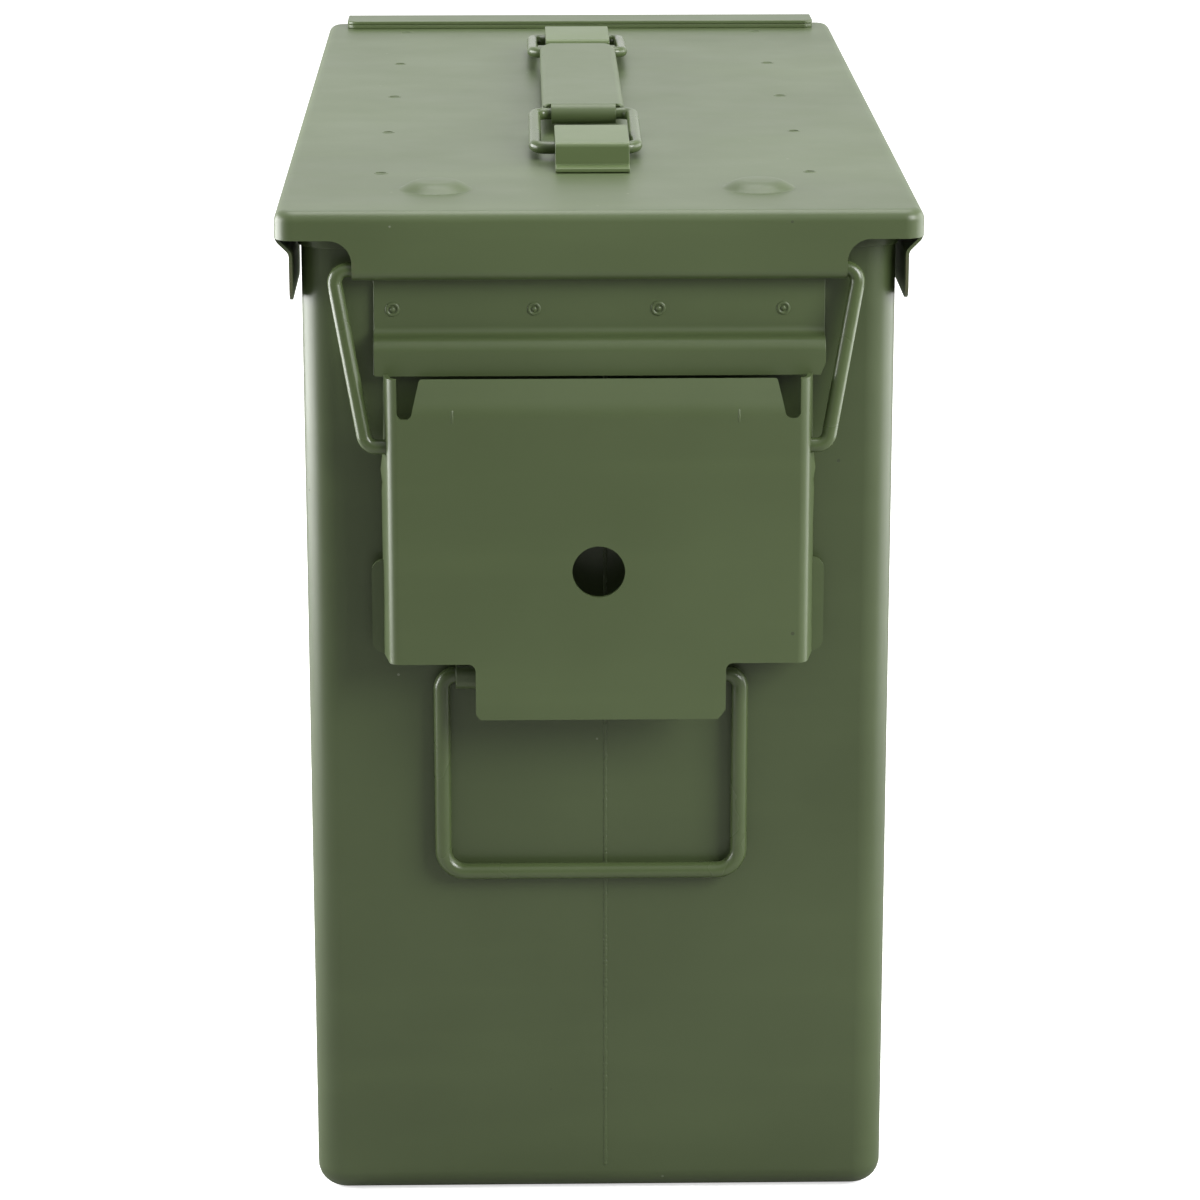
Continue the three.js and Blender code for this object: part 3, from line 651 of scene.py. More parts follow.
sheet = hinge["sheet"]
plateY = hingeLow.y + sheet / 2
curlLow = pinZ - curlRadius
corners = [(plateY, hingeLow.z), (plateY, curlLow), (pinY, curlLow)]
foot = fillet(corners, [0, hinge["footBend"], 0], steps=9)
split = next(i for i, p in enumerate(foot) if p.y > curlLow - hinge["curlStart"])
bodyRanges = [
    (-hingeEnd, lidKnuckles[0][0] - hinge["gap"]),
    (lidKnuckles[0][1] + hinge["gap"], lidKnuckles[1][0] - hinge["gap"]),
    (lidKnuckles[1][1] + hinge["gap"], hingeEnd),
]
curl = foot[split:-1] + arc((pinY, pinZ), curlRadius, -90, 190)
lowerLeaf = hingeLeafOf("lowerHingeLeaf", foot[: split + 1], curl, bodyRanges)
finish(lowerLeaf, "body", "hinge_bracket", sheetPaint, edge=0.25)

leafLow, leafHigh = placeOf("lid_hinge_leaf")
layer = leafHigh.z - sheet / 2
backY = pinY - curlRadius
bend = fillet([(leafLow.y, layer), (backY, layer), (backY, pinZ)], [0, sheet * 1.4, 0], steps=9)
skirtEnd = Vector((backY, pinZ + hinge["skirt"]))
plate = bend[:-1] + [skirtEnd]
curl = [skirtEnd] + arc((pinY, pinZ), curlRadius, 180, 440)
corner = hinge["corner"]
plan = fillet(
    rectangle(-hingeEnd, hingeEnd, leafLow.y, pinY + 40), [corner, corner, 0, 0], closed=True, steps=9
)
upperLeaf = hingeLeafOf("upperHingeLeaf", plate, curl, lidKnuckles, plan)
underEnd = pinY - curlRadius - sheet / 2 - hinge["underSetback"]
plan = fillet(
    rectangle(-hingeEnd + 0.05, hingeEnd - 0.05, leafLow.y + 0.05, underEnd),
    [corner, corner, 0, 0],
    closed=True,
    steps=9,
)
under = prism("under", plan, "z", leafHigh.z - 2 * sheet - gap, layer - sheet / 2 - 0.02)
join(upperLeaf, [under])
finish(upperLeaf, "lid", "lid_hinge_leaf", sheetPaint, edge=0.35)

end = pinHigh.x
head = pinRadius
profile = [
    (head * 0.35, -end),
    (head * 0.75, -end + 0.15),
    (head, -end + 0.7),
    (head, end - 0.7),
    (head * 0.75, end - 0.15),
    (head * 0.35, end),
]
pin = turned("hingePin", profile, (0, pinY, pinZ), "x")
finish(pin, "body", "hinge_pin", steelPin, edge=0)
print("hinge made")

lid = {
    "sheet": 1.2,
    "corner": 7,
    "edge": 4.0,
    "skirt": 9.8,
    "flangeInset": 26.5,
    "notch": 8,
    "hemSheet": 0.8,
    "earLength": 54,
    "earDrop": 32.5,
    "earSheet": 1.1,
    "earJoggle": 4.8,
    "earSetback": 8,
    "earCorner": 5,
    "earBend": 3.2,
    "bumpBase": 13,
    "bumpTop": 5.5,
    "bumpHeight": 3.1,
    "bumpSpread": 56.5,
    "bumpSetback": 45.5,
    "dentRadius": 2.1,
    "dentDepth": 0.4,
    "spotSpread": 76.5,
    "spotStations": (-157, -67, 20, 109, 203),
}
gasketLow, gasketHigh = placeOf("lid_gasket")
lidLow, lidHigh = placeOf("lid_shell")
lidTop = gasketHigh.z + gap + lid["sheet"]
lidUnder = lidTop - lid["sheet"]
lidFront, lidRear = lidLow.y, lidHigh.y
lidHalf = lidHigh.x
skirtLow = lidTop - lid["skirt"]
bailHigh = placeOf("bail_wire")[1]
hemY, hemZ = axes["bail_swing"].yz
bailRadius = bailHigh.z - hemZ
hemRadius = bailRadius + gap + lid["hemSheet"] / 2


def makeLid():
    sheet = lid["sheet"]
    stations = fillet(
        [(9, lidUnder), (sheet, lidUnder), (sheet, skirtLow), (0, skirtLow), (0, lidTop), (9, lidTop)],
        [0, lid["edge"] - lid["sheet"], 0.25, 0, lid["edge"], 0],
        steps=9,
    )
    rings = boxRings(lidHalf * 2, lidRear - lidFront, lid["corner"], stations, least=0.8)
    shell = loft("lidShell", rings)

    flangeHalf = lidHalf - lid["flangeInset"]
    notch = lid["notch"]
    wide = flangeHalf + notch
    middleY = hemY - hemRadius
    line = [(middleY, skirtLow + 0.8), (middleY, hemZ + 1), *arc((hemY, hemZ), hemRadius, 180, 486)]
    flange = foldedSheet("flange", line, lid["hemSheet"], "x", -wide, wide)
    for side in (-1, 1):
        edge = [(side * (wide + 3), hemZ - 20), (side * flangeHalf, hemZ - 20)]
        curve = [Vector((side * p.x, p.y)) for p in arc((wide, skirtLow - notch), notch, 180, 90)]
        outline = edge + curve + [(side * (wide + 3), skirtLow)]
        carve(flange, [prism("notch", outline, "y", lidFront - 5, lidFront + 15)])

    ears = []
    for side in (-1, 1):
        outX = side * (lidHalf - lid["earSheet"] / 2)
        inX = outX - side * lid["earJoggle"]
        corners = [
            (outX, skirtLow + 2.5),
            (outX, skirtLow - 1),
            (inX, skirtLow - 1 - lid["earJoggle"]),
            (inX, lidTop - lid["earDrop"]),
        ]
        near = lidFront + lid["earSetback"]
        far = near + lid["earLength"]
        ear = foldedSheet("ear", fillet(corners, lid["earBend"]), lid["earSheet"], "y", near, far)
        low = lidTop - lid["earDrop"]
        face = fillet(rectangle(near, far, low, low + 60), lid["earCorner"], closed=True)
        ears.append(carve(ear, [prism("face", face, "x", -lidHalf - 5, lidHalf + 5)], "INTERSECT"))

    bumps, hollows = [], []
    base, top, height = lid["bumpBase"], lid["bumpTop"], lid["bumpHeight"]
    for side in (-1, 1):
        centre = (side * lid["bumpSpread"], lidFront + lid["bumpSetback"], lidTop)
        for thin, into in ((0, bumps), (sheet, hollows)):
            low = -sheet * 0.6 if not thin else -sheet - 1
            profile = [(base + 0.4 - thin, low), (base + 0.4 - thin, -0.03 - thin)]
            for k in range(1, 15):
                share = k / 14
                radius = base - thin * 0.5 + (top - base) * share
                rise = 0.5 - 0.5 * math.cos(math.pi * share**0.66)
                profile.append((radius, height * rise * 0.94 - thin + 0.01))
            profile += [(top * 0.5, height * 0.985 - thin), (0.3, height - thin)]
            into.append(turned("bump", profile, centre))
    radius, depth = lid["dentRadius"], lid["dentDepth"]
    for side in (-1, 1):
        for y in lid["spotStations"]:
            dish = [(radius * k / 6, lidTop - depth * (1 - (k / 6) ** 2)) for k in range(7)]
            profile = [(max(r, 0.1), z) for r, z in dish] + [(radius, lidTop + 1), (0.1, lidTop + 1)]
            hollows.append(turned("dent", profile, (side * lid["spotSpread"], y, 0), steps=24))
    carve(shell, [flange, *ears, *bumps], "UNION")
    return carve(shell, hollows)


lidShell = makeLid()
finish(lidShell, "lid", "lid_shell", lidPaint, edge=0.22, angle=40)
print("lid made:", len(lidShell.data.polygons), "faces")

stiffener = {"sheet": 1.2, "bend": 1.8}
for side, name in ((-1, "left"), (1, "right")):
    low, high = placeOf("lid_stiffener_" + name)
    inner, outer = sorted((abs(low.x), abs(high.x)))
    half = stiffener["sheet"] / 2
    corners = [
        (side * inner, high.z - half),
        (side * (outer - half), high.z - half),
        (side * (outer - half), low.z),
    ]
    line = fillet(corners, stiffener["bend"])
    made = foldedSheet(name + "Stiffener", line, stiffener["sheet"], "y", low.y, high.y)
    finish(made, "lid", "lid_stiffener_" + name, sheetPaint, edge=0.25)

seal = {"inside": 5.4, "edge": 1.2, "corner": 7}
sealWidth = gasketHigh.x - canHigh.x + seal["inside"]
stations = fillet(rectangle(0, sealWidth, gasketLow.z, gasketHigh.z), seal["edge"], closed=True)
rings = boxRings(gasketHigh.x * 2, gasketHigh.y * 2, seal["corner"], stations, least=2)
gasket = loft("lidGasket", rings, closed=True)
finish(gasket, "lid", "lid_gasket", rubber, edge=0)

clip = {"sheet": 1.5, "foot": 9.5, "bend": 0.95}
for side in ("front", "rear"):
    low, high = placeOf(side + "_clip")
    sheet = clip["sheet"]
    floor = low.z + sheet / 2
    top = high.z - sheet / 2
    foot = clip["foot"]
    near, far = low.y + foot, high.y - foot
    corners = [
        (near - foot, floor),
        (near, floor),
        (near, top),
        (far, top),
        (far, floor),
        (far + foot, floor),
    ]
    line = fillet(corners, clip["bend"])
    made = foldedSheet(side + "Clip", line, sheet, "x", low.x, high.x)
    finish(made, "lid", side + "_clip", litClipPaint, edge=0.35)

loopSize = {"joint": 0.4, "bend": 4.5, "sides": 20}


# A loop from its bar, inside a clip, up to the grip.
def makeLoop(name, node, facing, gripBar):
    low, high = placeOf(node)
    barZ = axes["carry_lift"].z
    radius = barZ - low.z
    half = (high.x - low.x) / 2 - radius
    joint = loopSize["joint"] / 2
    bar = Vector(((low.x + high.x) / 2, low.y + radius if facing > 0 else high.y - radius, barZ))
    along = Vector((0, gripBar.y - bar.y, gripBar.z - bar.z))
    far = along.length
    corners = [(joint, 0), (half, 0), (half, far), (-half, far), (-half, 0), (-joint, 0)]
    route = fillet(corners, loopSize["bend"], steps=10)
    return wire(name, route, radius, bar, (1, 0, 0), along.normalized(), loopSize["sides"])


for side, facing, axis in (("front", 1, "grip_level"), ("rear", -1, "rear_link_fold")):
    made = makeLoop(side + "Loop", side + "_loop", facing, axes[axis])
    finish(made, side + "_link", side + "_loop", wirePaint, edge=0)

grip = {
    "sheet": 1.2,
    "skirt": 4.6,
    "bend": 1.6,
    "crown": 0.25,
    "frontCorner": 2.5,
    "frontStart": 0.6,
    "rearCorner": 9,
    "rearStart": 3.4,
    "notch": 9,
    "notchClear": 0.6,
    "notchSlope": 2.5,
}


def makeGrip():
    low, high = placeOf("carry_grip")
    frontLow, frontHigh = placeOf("front_loop")
    wireRadius = axes["carry_lift"].z - frontLow.z
    near, barZ = axes["grip_level"].yz
    far = axes["rear_link_fold"].y
    sheet = grip["sheet"]
    roll = wireRadius + gap + sheet / 2
    middle = (low.x + high.x) / 2
    half = (high.x - low.x) / 2
    rollHalf = (frontHigh.x - frontLow.x) / 2 - 2 * wireRadius - loopSize["bend"] + 0.5
    span = (middle - rollHalf, middle + rollHalf)
    frontRoll = foldedSheet("roll", arc((near, barZ), roll, 380, 90), sheet, "x", *span)
    rearRoll = foldedSheet("roll", arc((far, barZ), roll, 90, -200), sheet, "x", *span)
    topZ = barZ + roll + sheet / 2
    rows = 60
    rings = []
    for k in range(rows + 1):
        share = k / rows
        y = near + (far - near) * (0.5 - 0.5 * math.cos(math.pi * share))
        frontAway, rearAway = y - near + grip["frontStart"], far - y + grip["rearStart"]
        narrow = 0
        for away, corner in ((frontAway, grip["frontCorner"]), (rearAway, grip["rearCorner"])):
            if away < corner:
                narrow = max(narrow, corner - math.sqrt(corner**2 - (corner - away) ** 2))
        side = half - narrow
        drop = grip["skirt"]
        crown = grip["crown"] * math.sin(math.pi * share)
        line = fillet(
            [(-side, topZ - drop), (-side, topZ), (side, topZ), (side, topZ - drop)],
            [0, grip["bend"] + sheet, grip["bend"] + sheet, 0],
            steps=6,
        )
        within = side - sheet
        inner = fillet(
            [
                (-within, topZ - drop),
                (-within, topZ - sheet),
                (within, topZ - sheet),
                (within, topZ - drop),
            ],
            [0, grip["bend"], grip["bend"], 0],
            steps=6,
        )
        rings.append([Vector((middle + p.x, y, p.y - crown)) for p in line + inner[::-1]])
    made = loft("carryGrip", rings)
    under = topZ - sheet
    reach = wireRadius + gap + grip["notchClear"]
    size = grip["notch"]
    for at, into in ((near, 1), (far, -1)):
        notch = [
            (at - into * size, barZ - size),
            (at + into * (reach + grip["notchSlope"]), barZ - size),
            (at + into * reach, barZ + 1),
            (at + into * reach, under),
            (at - into * size, under),
        ]
        carve(made, [prism("notch", notch, "x", middle - 40, middle + 40)])
    return join(made, [frontRoll, rearRoll])


carryGrip = makeGrip()
finish(carryGrip, "grip", "carry_grip", sheetPaint, edge=0.2, angle=50)
print("carry handle made")

bail = {"bend": 4.5, "sideGap": 7, "end": 6.6, "sides": 22}
lever = {
    "sheet": 1.6,
    "bend": 3.2,
    "flare": 2.5,
    "fold": 11.2,
    "foldBend": 6,
    "lean": 5,
    "slotDrop": 2.4,
    "slot": 4.5,
    "tongueInset": 12,
    "tabWidth": 86.8,
    "tabDrop": 20.2,
    "tabShift": 0.7,
    "tabFillet": 2.6,
    "tabLeftCut": (1.8, 1.8),
    "tabRightCut": (2.6, 3.4),
    "holeRadius": 9.1,
    "holeRise": 33,
    "earReach": 4,
    "earHeight": 34,
    "earCorner": 4.2,
    "neckDrop": 1,
    "slope": 27,
    "lipGap": 1.5,
    "lugDrop": 9.5,
    "lugSwell": 1.3,
    "lugLength": 4.5,
    "sideWave": 0.35,
    "dieMarks": (-50, 48),
}
pivotY, pivotZ = axes["latch_throw"].yz


def makeBail():
    low, high = placeOf("bail_wire")
    leverLow, leverHigh = placeOf("latch_lever")
    radius, bend = bailRadius, bail["bend"]
    leverHalf = (leverHigh.x - leverLow.x) / 2 - lever["earReach"] - lever["flare"]
    along = Vector((hemY - pivotY, hemZ - pivotZ))
    drop = along.length
    narrow = leverHalf + bail["sideGap"]
    reach = (high.x - low.x) / 2 - radius
    turn = math.pi / 2 + math.atan2(reach - narrow, drop)
    spread = reach + bend * (math.tan(turn / 2) - 1)
    end = leverHalf - bail["end"]
    corners = [(-end, -drop), (-narrow, -drop), (-spread, 0), (spread, 0), (narrow, -drop), (end, -drop)]
    route = fillet(corners, [0, bend, bend, bend, bend, 0], steps=14)
    up = along.normalized()
    origin = ((low.x + high.x) / 2, hemY, hemZ)
    return wire("bailWire", route, radius, origin, (1, 0, 0), (0, up.x, up.y), bail["sides"])


bailWire = makeBail()
finish(bailWire, "bail", "bail_wire", wirePaint, edge=0)


def makeLever():
    low, high = placeOf("latch_lever")
    shift = (low.x + high.x) / 2
    sheet = lever["sheet"]
    top = high.z
    bottom = low.z + lever["tabDrop"]
    reach = (high.x - low.x) / 2 - lever["earReach"]
    half = reach - lever["flare"]
    faceY = low.y + sheet / 2
    rearY = high.y - 0.2
    fold = top - lever["fold"] - 0.4
    section = fillet(
        [
            (shift - half - lever["flare"] + sheet / 2, rearY),
            (shift - half + sheet / 2, faceY),
            (shift + half - sheet / 2, faceY),
            (shift + half + lever["flare"] - sheet / 2, rearY),
        ],
        lever["bend"],
        steps=10,
    )
    lugZ = pivotZ - lever["lugDrop"]
    levels = [low.z, bottom, bottom + 1, bottom + 21, bottom + 46, lugZ - 8, lugZ, lugZ + 8, fold - 3]
    levels += [fold - 3 + (top - fold + 3) * k / 12 for k in range(1, 13)]
    made = foldedSheet("latchLever", section, sheet, "z", *levels)
    front, back = low.y - 4, high.y + 4
    tools = []
    for side in (-1, 1):
        at = lambda x: shift + side * x
        inner = half - lever["bend"]
        slot = inner - lever["slot"]
        tongue = half - lever["tongueInset"]
        notch = [
            (at(inner), top + 4),
            (at(inner), fold - lever["slotDrop"]),
            (at(slot - 0.2), fold - lever["slotDrop"]),
            (at(tongue + 1.0), top),
            (at(tongue - 1.5), top + 0.5),
            (at(tongue - 1.5), top + 4),
        ]
        notch = fillet(notch, [0, 2.1, 2.1, 1.6, 0, 0], closed=True, steps=8)
        tools.append(prism("notch", notch, "y", front, faceY + 9))
        tabEdge = lever["tabShift"] + shift + side * lever["tabWidth"] / 2
        outer = at(half + 12)
        base = low.z - 3
        cutIn, cutUp = lever["tabLeftCut"] if side < 0 else lever["tabRightCut"]
        away = [
            (outer, base),
            (outer, bottom),
            (tabEdge, bottom),
            (tabEdge, low.z + cutUp),
            (tabEdge - side * cutIn, low.z),
            (tabEdge - side * cutIn, base),
        ]
        away = fillet(away, [0, 0, lever["tabFillet"], 1.2, 1.2, 0], closed=True)
        tools.append(prism("away", away, "y", front, back))
    neck = fold - lever["neckDrop"]
    lipY = catchLow.y - lever["lipGap"]
    rear = [
        (back, neck - lever["slope"] - 3),
        (rearY - 1.2, neck - lever["slope"]),
        (lipY, neck),
        (lipY, top - 3),
        (lipY - 1.2, top + 3),
        (back, top + 3),
    ]
    tools.append(prism("rear", fillet(rear, [0, 3, 4, 2, 0, 0], closed=True), "x", -100, 100))
    hole = [(lever["holeRadius"], -6), (lever["holeRadius"], 6)]
    tools.append(turned("hole", hole, (shift, faceY, bottom + lever["holeRise"]), "y", 72))
    bore = [(bailRadius + gap, -100), (bailRadius + gap, 100)]
    tools.append(turned("pivot", bore, (0, pivotY, pivotZ), "x", 28))
    carve(made, tools)
    for x in lever["dieMarks"]:
        profile = [(0.1, -2.6), (0.5, -2.1), (0.6, 0), (0.5, 2.1), (0.1, 2.6)]
        join(made, [turned("dieMark", profile, (shift + x, low.y + 0.35, fold - 1.5), steps=12)])

    tongueHalf = half - lever["bend"] - 1.0
    lean = math.atan2(lever["lean"], lever["fold"])

    def bendAndWave(p):
        x = p.x - shift
        if abs(x) < tongueHalf and p.z > fold - lever["foldBend"] / 2 and p.y < faceY + 7:
            start = fold - lever["foldBend"] / 2
            length = lever["foldBend"]
            rise = p.z - start
            turn = lean * min(rise / length, 1)
            radius = length / lean
            into = radius * (1 - math.cos(turn)) + max(rise - length, 0) * math.sin(lean)
            up = radius * math.sin(turn) + max(rise - length, 0) * math.cos(lean)
            depth = p.y - low.y
            p = Vector((p.x, low.y + into + depth * math.cos(turn), start + up - depth * math.sin(turn)))
        elif p.y > faceY + 5 and abs(x) > half - 2:
            share = (p.y - faceY - 5) / (rearY - faceY - 5)
            lug = lever["lugSwell"] * math.exp(-((p.z - lugZ) / lever["lugLength"]) ** 2)
            wave = lever["sideWave"] * math.sin(p.z * 0.11 + (0.8 if x > 0 else 0))
            p.x += math.copysign((lug + wave) * share, x)
        return p

    shape(made, bendAndWave)
    ears = []
    for side in (-1, 1):
        inside = shift + side * (reach - sheet - 0.2)
        outside = shift + side * (reach + lever["earReach"])
        corner = lever["earCorner"]
        near, far = sorted((inside, outside))
        outline = fillet(
            rectangle(near, far, bottom + 0.3, bottom + lever["earHeight"]),
            [corner, 0.2, 0.2, corner] if side < 0 else [0.2, corner, corner, 0.2],
            closed=True,
        )
        ears.append(prism("ear", outline, "y", rearY - sheet, rearY - 0.1))
    return join(made, ears)


latchLever = makeLever()
finish(latchLever, "latch", "latch_lever", sheetPaint, edge=0.45, angle=45)
print("latch made:", len(latchLever.data.polygons), "faces")


class Growth:
    def __init__(self, name, sizes):
        self.tree = bpy.data.node_groups.new(name, "GeometryNodeTree")
        face = self.tree.interface
        face.new_socket("Geometry", in_out="INPUT", socket_type="NodeSocketGeometry")
        face.new_socket("Geometry", in_out="OUTPUT", socket_type="NodeSocketGeometry")
        self.ids = {}
        for label, (kind, value) in sizes.items():
            socket = face.new_socket(label, in_out="INPUT", socket_type="NodeSocket" + kind)
            if value is not None:
                socket.default_value = value
            self.ids[label] = socket.identifier
        self.given = self.tree.nodes.new("NodeGroupInput")
        self.out = self.tree.nodes.new("NodeGroupOutput")

    def size(self, label):
        return self.given.outputs[label]

    def node(self, kind, settings, sockets, output=0):
        made = self.tree.nodes.new(kind)
        for key, value in settings.items():
            setattr(made, key, value)
        for key, value in sockets.items():
            if isinstance(value, bpy.types.NodeSocket):
                self.tree.links.new(value, made.inputs[key])
            else:
                made.inputs[key].default_value = value
        return made.outputs[output]

    def close(self, geometry):
        real = self.node("GeometryNodeRealizeInstances", {}, {"Geometry": geometry})
        given = {"Geometry": real, "Material": self.size("Paint")}
        painted = self.node("GeometryNodeSetMaterial", {}, given)
        self.tree.links.new(painted, self.out.inputs["Geometry"])

    def grow(self, name, points, edges, values, body, slotName="olive_paint"):
        mesh = bpy.data.meshes.new(name)
        mesh.from_pydata([Vector(p) * mm for p in points], edges, [])
        piece = bpy.data.objects.new(name, mesh)
        bpy.context.scene.collection.objects.link(piece)
        change = piece.modifiers.new("growth", "NODES")
        change.node_group = self.tree
        for label, value in values.items():
            change[self.ids[label]] = value
        settle(piece)
        piece.data.shade_smooth()
        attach(piece, body)
        return piece


# A pressed ring and centre, at each point.
def pressedMarks():
    sizes = {
        "Ring Radius": ("Float", 0.0022),
        "Ring Wire": ("Float", 0.0005),
        "Centre Radius": ("Float", 0.0009),
        "Flatness": ("Float", 0.4),
        "Tilt": ("Vector", (0, 0, 0)),
        "Seed": ("Int", 4),
        "Paint": ("Material", None),
    }
    g = Growth("pressedMarks", sizes)
    given = {"Resolution": 28, "Radius": g.size("Ring Radius")}
    circle = g.node("GeometryNodeCurvePrimitiveCircle", {}, given, "Curve")
    given = {"Resolution": 10, "Radius": g.size("Ring Wire")}
    section = g.node("GeometryNodeCurvePrimitiveCircle", {}, given, "Curve")
    ring = g.node("GeometryNodeCurveToMesh", {}, {"Curve": circle, "Profile Curve": section})
    given = {"Segments": 20, "Rings": 10, "Radius": g.size("Centre Radius")}
    dot = g.node("GeometryNodeMeshUVSphere", {}, given, "Mesh")
    joined = g.tree.nodes.new("GeometryNodeJoinGeometry")
    g.tree.links.new(ring, joined.inputs[0])
    g.tree.links.new(dot, joined.inputs[0])
    flat = g.node("ShaderNodeCombineXYZ", {}, {"X": 1.0, "Y": 1.0, "Z": g.size("Flatness")})
    mark = g.node("GeometryNodeTransform", {}, {"Geometry": joined.outputs[0], "Scale": flat})
    mark = g.node("GeometryNodeTransform", {}, {"Geometry": mark, "Rotation": g.size("Tilt")})
    given = {2: 0.93, 3: 1.07, "Seed": g.size("Seed")}
    vary = g.node("FunctionNodeRandomValue", {"data_type": "FLOAT"}, given, 1)
    given = {"Points": g.size("Geometry"), "Instance": mark, "Scale": vary}
    g.close(g.node("GeometryNodeInstanceOnPoints", {}, given))
    return g


# Ripples of weld along an edge.
def weldBead():
    sizes = {
        "Pitch": ("Float", 0.0008),
        "Ripple": ("Vector", (0.0007, 0.00022, 0.0009)),
        "Seed": ("Int", 11),
        "Paint": ("Material", None),
    }
    g = Growth("weldBead", sizes)
    path = g.node("GeometryNodeMeshToCurve", {}, {"Mesh": g.size("Geometry")})
    given = {"Curve": path, "Length": g.size("Pitch")}
    path = g.node("GeometryNodeResampleCurve", {"mode": "LENGTH"}, given)
    given = {"Segments": 10, "Rings": 6, "Radius": 1.0}
    ripple = g.node("GeometryNodeMeshUVSphere", {}, given, "Mesh")
    ripple = g.node("GeometryNodeTransform", {}, {"Geometry": ripple, "Scale": g.size("Ripple")})
    given = {2: 0.75, 3: 1.2, "Seed": g.size("Seed")}
    vary = g.node("FunctionNodeRandomValue", {"data_type": "FLOAT"}, given, 1)
    given = {"Points": path, "Instance": ripple, "Scale": vary}
    g.close(g.node("GeometryNodeInstanceOnPoints", {}, given))
    return g


marks = {
    "catchStations": (-71, -22.4, 20.2, 63.2),
    "catchDrop": 10.6,
    "seamShift": 2.0,
    "seam": (11, 345),
}
lidMark = {
    "Ring Radius": 0.0022,
    "Ring Wire": 0.0004,
    "Centre Radius": 0.0001,
    "Flatness": 0.35,
    "Paint": lidPaint,
}
catchMark = {
    "Ring Radius": 0.0019,
    "Ring Wire": 0.0006,
    "Centre Radius": 0.0010,
    "Flatness": 0.7,
    "Tilt": (math.pi / 2, 0, 0),
    "Paint": sheetPaint,
}
marking = pressedMarks()
welding = weldBead()
lidSpots = [(side * lid["spotSpread"], y, lidTop) for side in (-1, 1) for y in lid["spotStations"]]
marking.grow("lidWeldMarks", lidSpots, [], lidMark, "lid")
markY = catchPlateY - catch["sheet"] / 2 + 0.02
markZ = catchHigh.z - marks["catchDrop"]
catchSpots = [(x, markY, markZ) for x in marks["catchStations"]]
marking.grow("catchWeldMarks", catchSpots, [], catchMark, "body")
seamPoints = [(marks["seamShift"], canFront - 0.02, z) for z in marks["seam"]]
welding.grow("frontSeamWeld", seamPoints, [(0, 1)], {"Paint": shadedCanPaint}, "body")
print("welds made")

studio = {
    "floor": 40,
    "floorColour": (0.93, 0.93, 0.93, 1),
    "floorGlow": 0.6,
    "floorBounce": (0.33, 0.33, 0.31, 1),
    "front": 0.28,
    "side": 1.0,
    "back": 1.3,
    "above": 0.95,
}

# Place, target, size and power of each soft light.
lights = {
    "keyLight": ((1.45, -1.30, 1.20), (0, -0.1, 0.22), (1.0, 1.0), 49),
    "topLight": ((0.1, 0.25, 1.75), (0.0, 0.1, 0.3), (1.4, 1.2), 20),
    "leftPanel": ((-0.75, 0.02, 0.36), (0, 0.02, 0.36), (0.8, 0.6), 15),
    "rightPanel": ((0.75, 0.06, 0.36), (0, 0.06, 0.36), (0.85, 0.72), 7),
}


class Backdrop(Recipe):
    def __init__(self, owner):
        owner.use_nodes = True
        self.tree = owner.node_tree
        self.tree.nodes.clear()


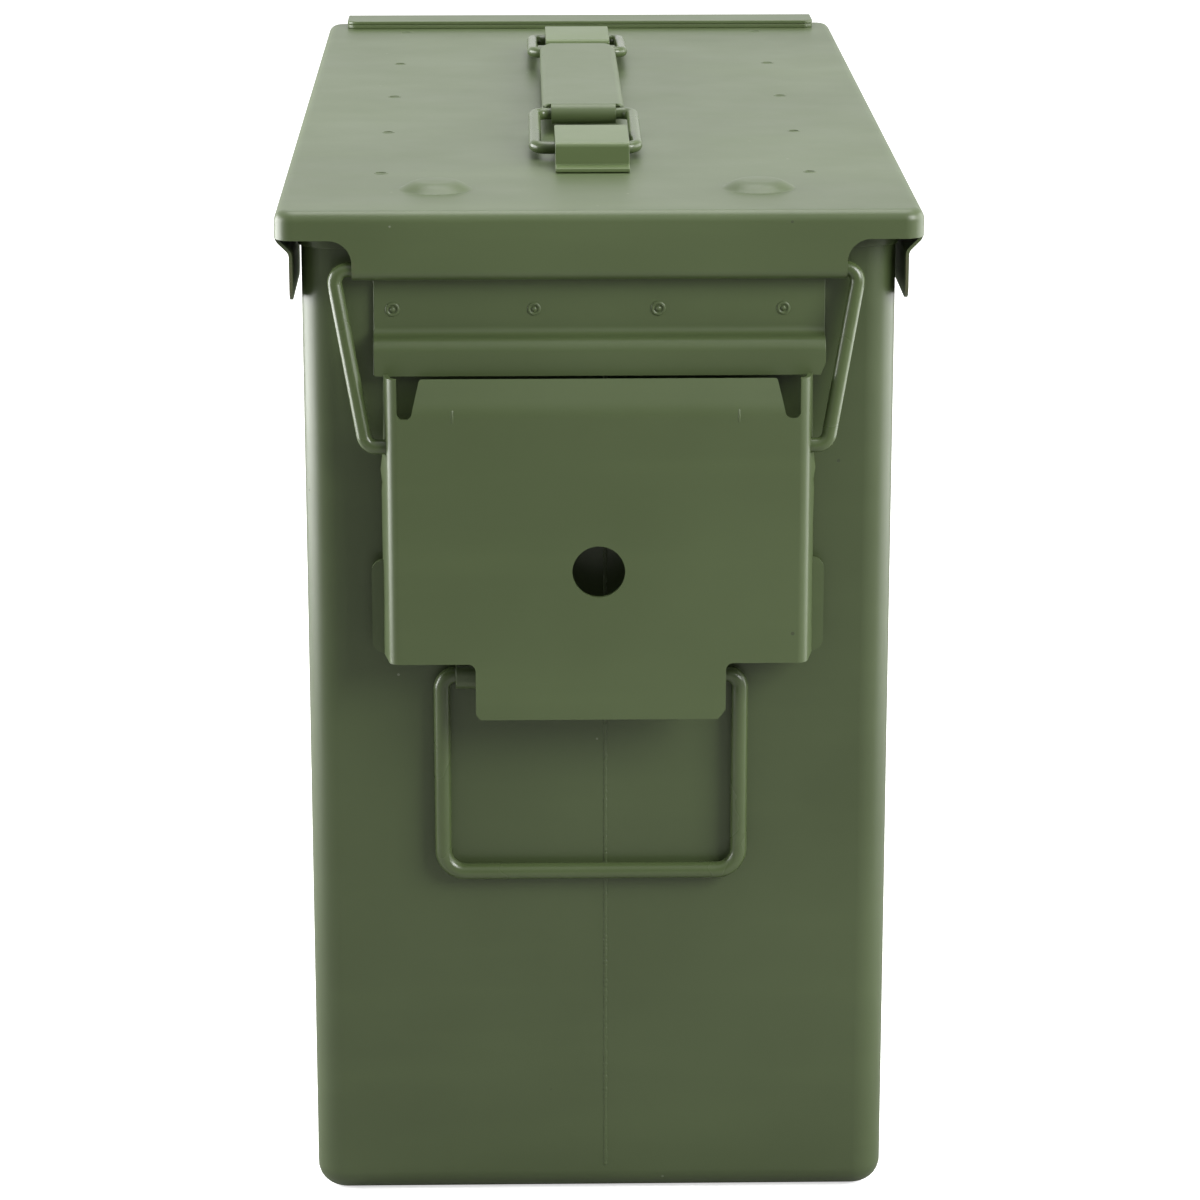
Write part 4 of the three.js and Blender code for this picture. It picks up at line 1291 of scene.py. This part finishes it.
def makeStage():
    bm = bmesh.new()
    half = studio["floor"] / 2
    corners = [bm.verts.new(Vector((x, y, -0.0004))) for x, y in rectangle(-half, half, -half, half)]
    bm.faces.new(corners)
    mesh = bpy.data.meshes.new("studioFloor")
    bm.to_mesh(mesh)
    bm.free()
    floor = bpy.data.objects.new("studioFloor", mesh)
    bpy.context.scene.collection.objects.link(floor)
    material = bpy.data.materials.new("studioFloor")
    r = Backdrop(material)
    seen = r.node("ShaderNodeLightPath", {}, {}, "Is Camera Ray")
    pale = r.node("ShaderNodeBsdfDiffuse", {}, {"Color": studio["floorColour"]})
    glow = r.node("ShaderNodeEmission", {}, {"Strength": studio["floorGlow"]})
    shown = r.node("ShaderNodeAddShader", {}, {0: pale, 1: glow})
    dull = r.node("ShaderNodeBsdfDiffuse", {}, {"Color": studio["floorBounce"]})
    both = r.node("ShaderNodeMixShader", {}, {0: seen, 1: dull, 2: shown})
    r.node("ShaderNodeOutputMaterial", {}, {"Surface": both}, None)
    mesh.materials.append(material)

    world = bpy.data.worlds.new("studioWorld")
    bpy.context.scene.world = world
    r = Backdrop(world)
    look = r.node("ShaderNodeTexCoord", {}, {}, "Generated")
    ahead, up = look.part(1), look.part(2)
    level = r.band(ahead, -1.0, -0.35) * (studio["side"] - studio["front"]) + studio["front"]
    level = level + r.band(ahead, 0.0, 0.9) * (studio["back"] - studio["side"])
    high = r.band(up, 0.35, 0.85)
    level = level * (1 - high) + high * studio["above"]
    sky = r.node("ShaderNodeBackground", {}, {"Strength": level})
    r.node("ShaderNodeOutputWorld", {}, {"Surface": sky}, None)


def softLight(name, place, target, size, power):
    lamp = bpy.data.lights.new(name, "AREA")
    lamp.shape = "RECTANGLE"
    lamp.size, lamp.size_y = size
    lamp.energy = power
    holder = bpy.data.objects.new(name, lamp)
    bpy.context.scene.collection.objects.link(holder)
    holder.location = place
    holder.visible_camera = False
    holder.rotation_euler = (Vector(target) - Vector(place)).to_track_quat("-Z", "Y").to_euler()


makeStage()
for name, values in lights.items():
    softLight(name, *values)

view = {
    "place": (-0.0273, -1.66316, 0.62265),
    "lens": 127.86,
    "pitch": 74.475,
    "roll": 0.026,
    "yaw": -1.103,
}
cameraData = bpy.data.cameras.new("camera")
cameraData.lens = view["lens"]
cameraData.sensor_width = 36
camera = bpy.data.objects.new("camera", cameraData)
bpy.context.scene.collection.objects.link(camera)
camera.location = view["place"]
camera.rotation_euler = [math.radians(view[k]) for k in ("pitch", "roll", "yaw")]
bpy.context.scene.camera = camera
bpy.context.scene.view_settings.view_transform = "Standard"
print("studio made")
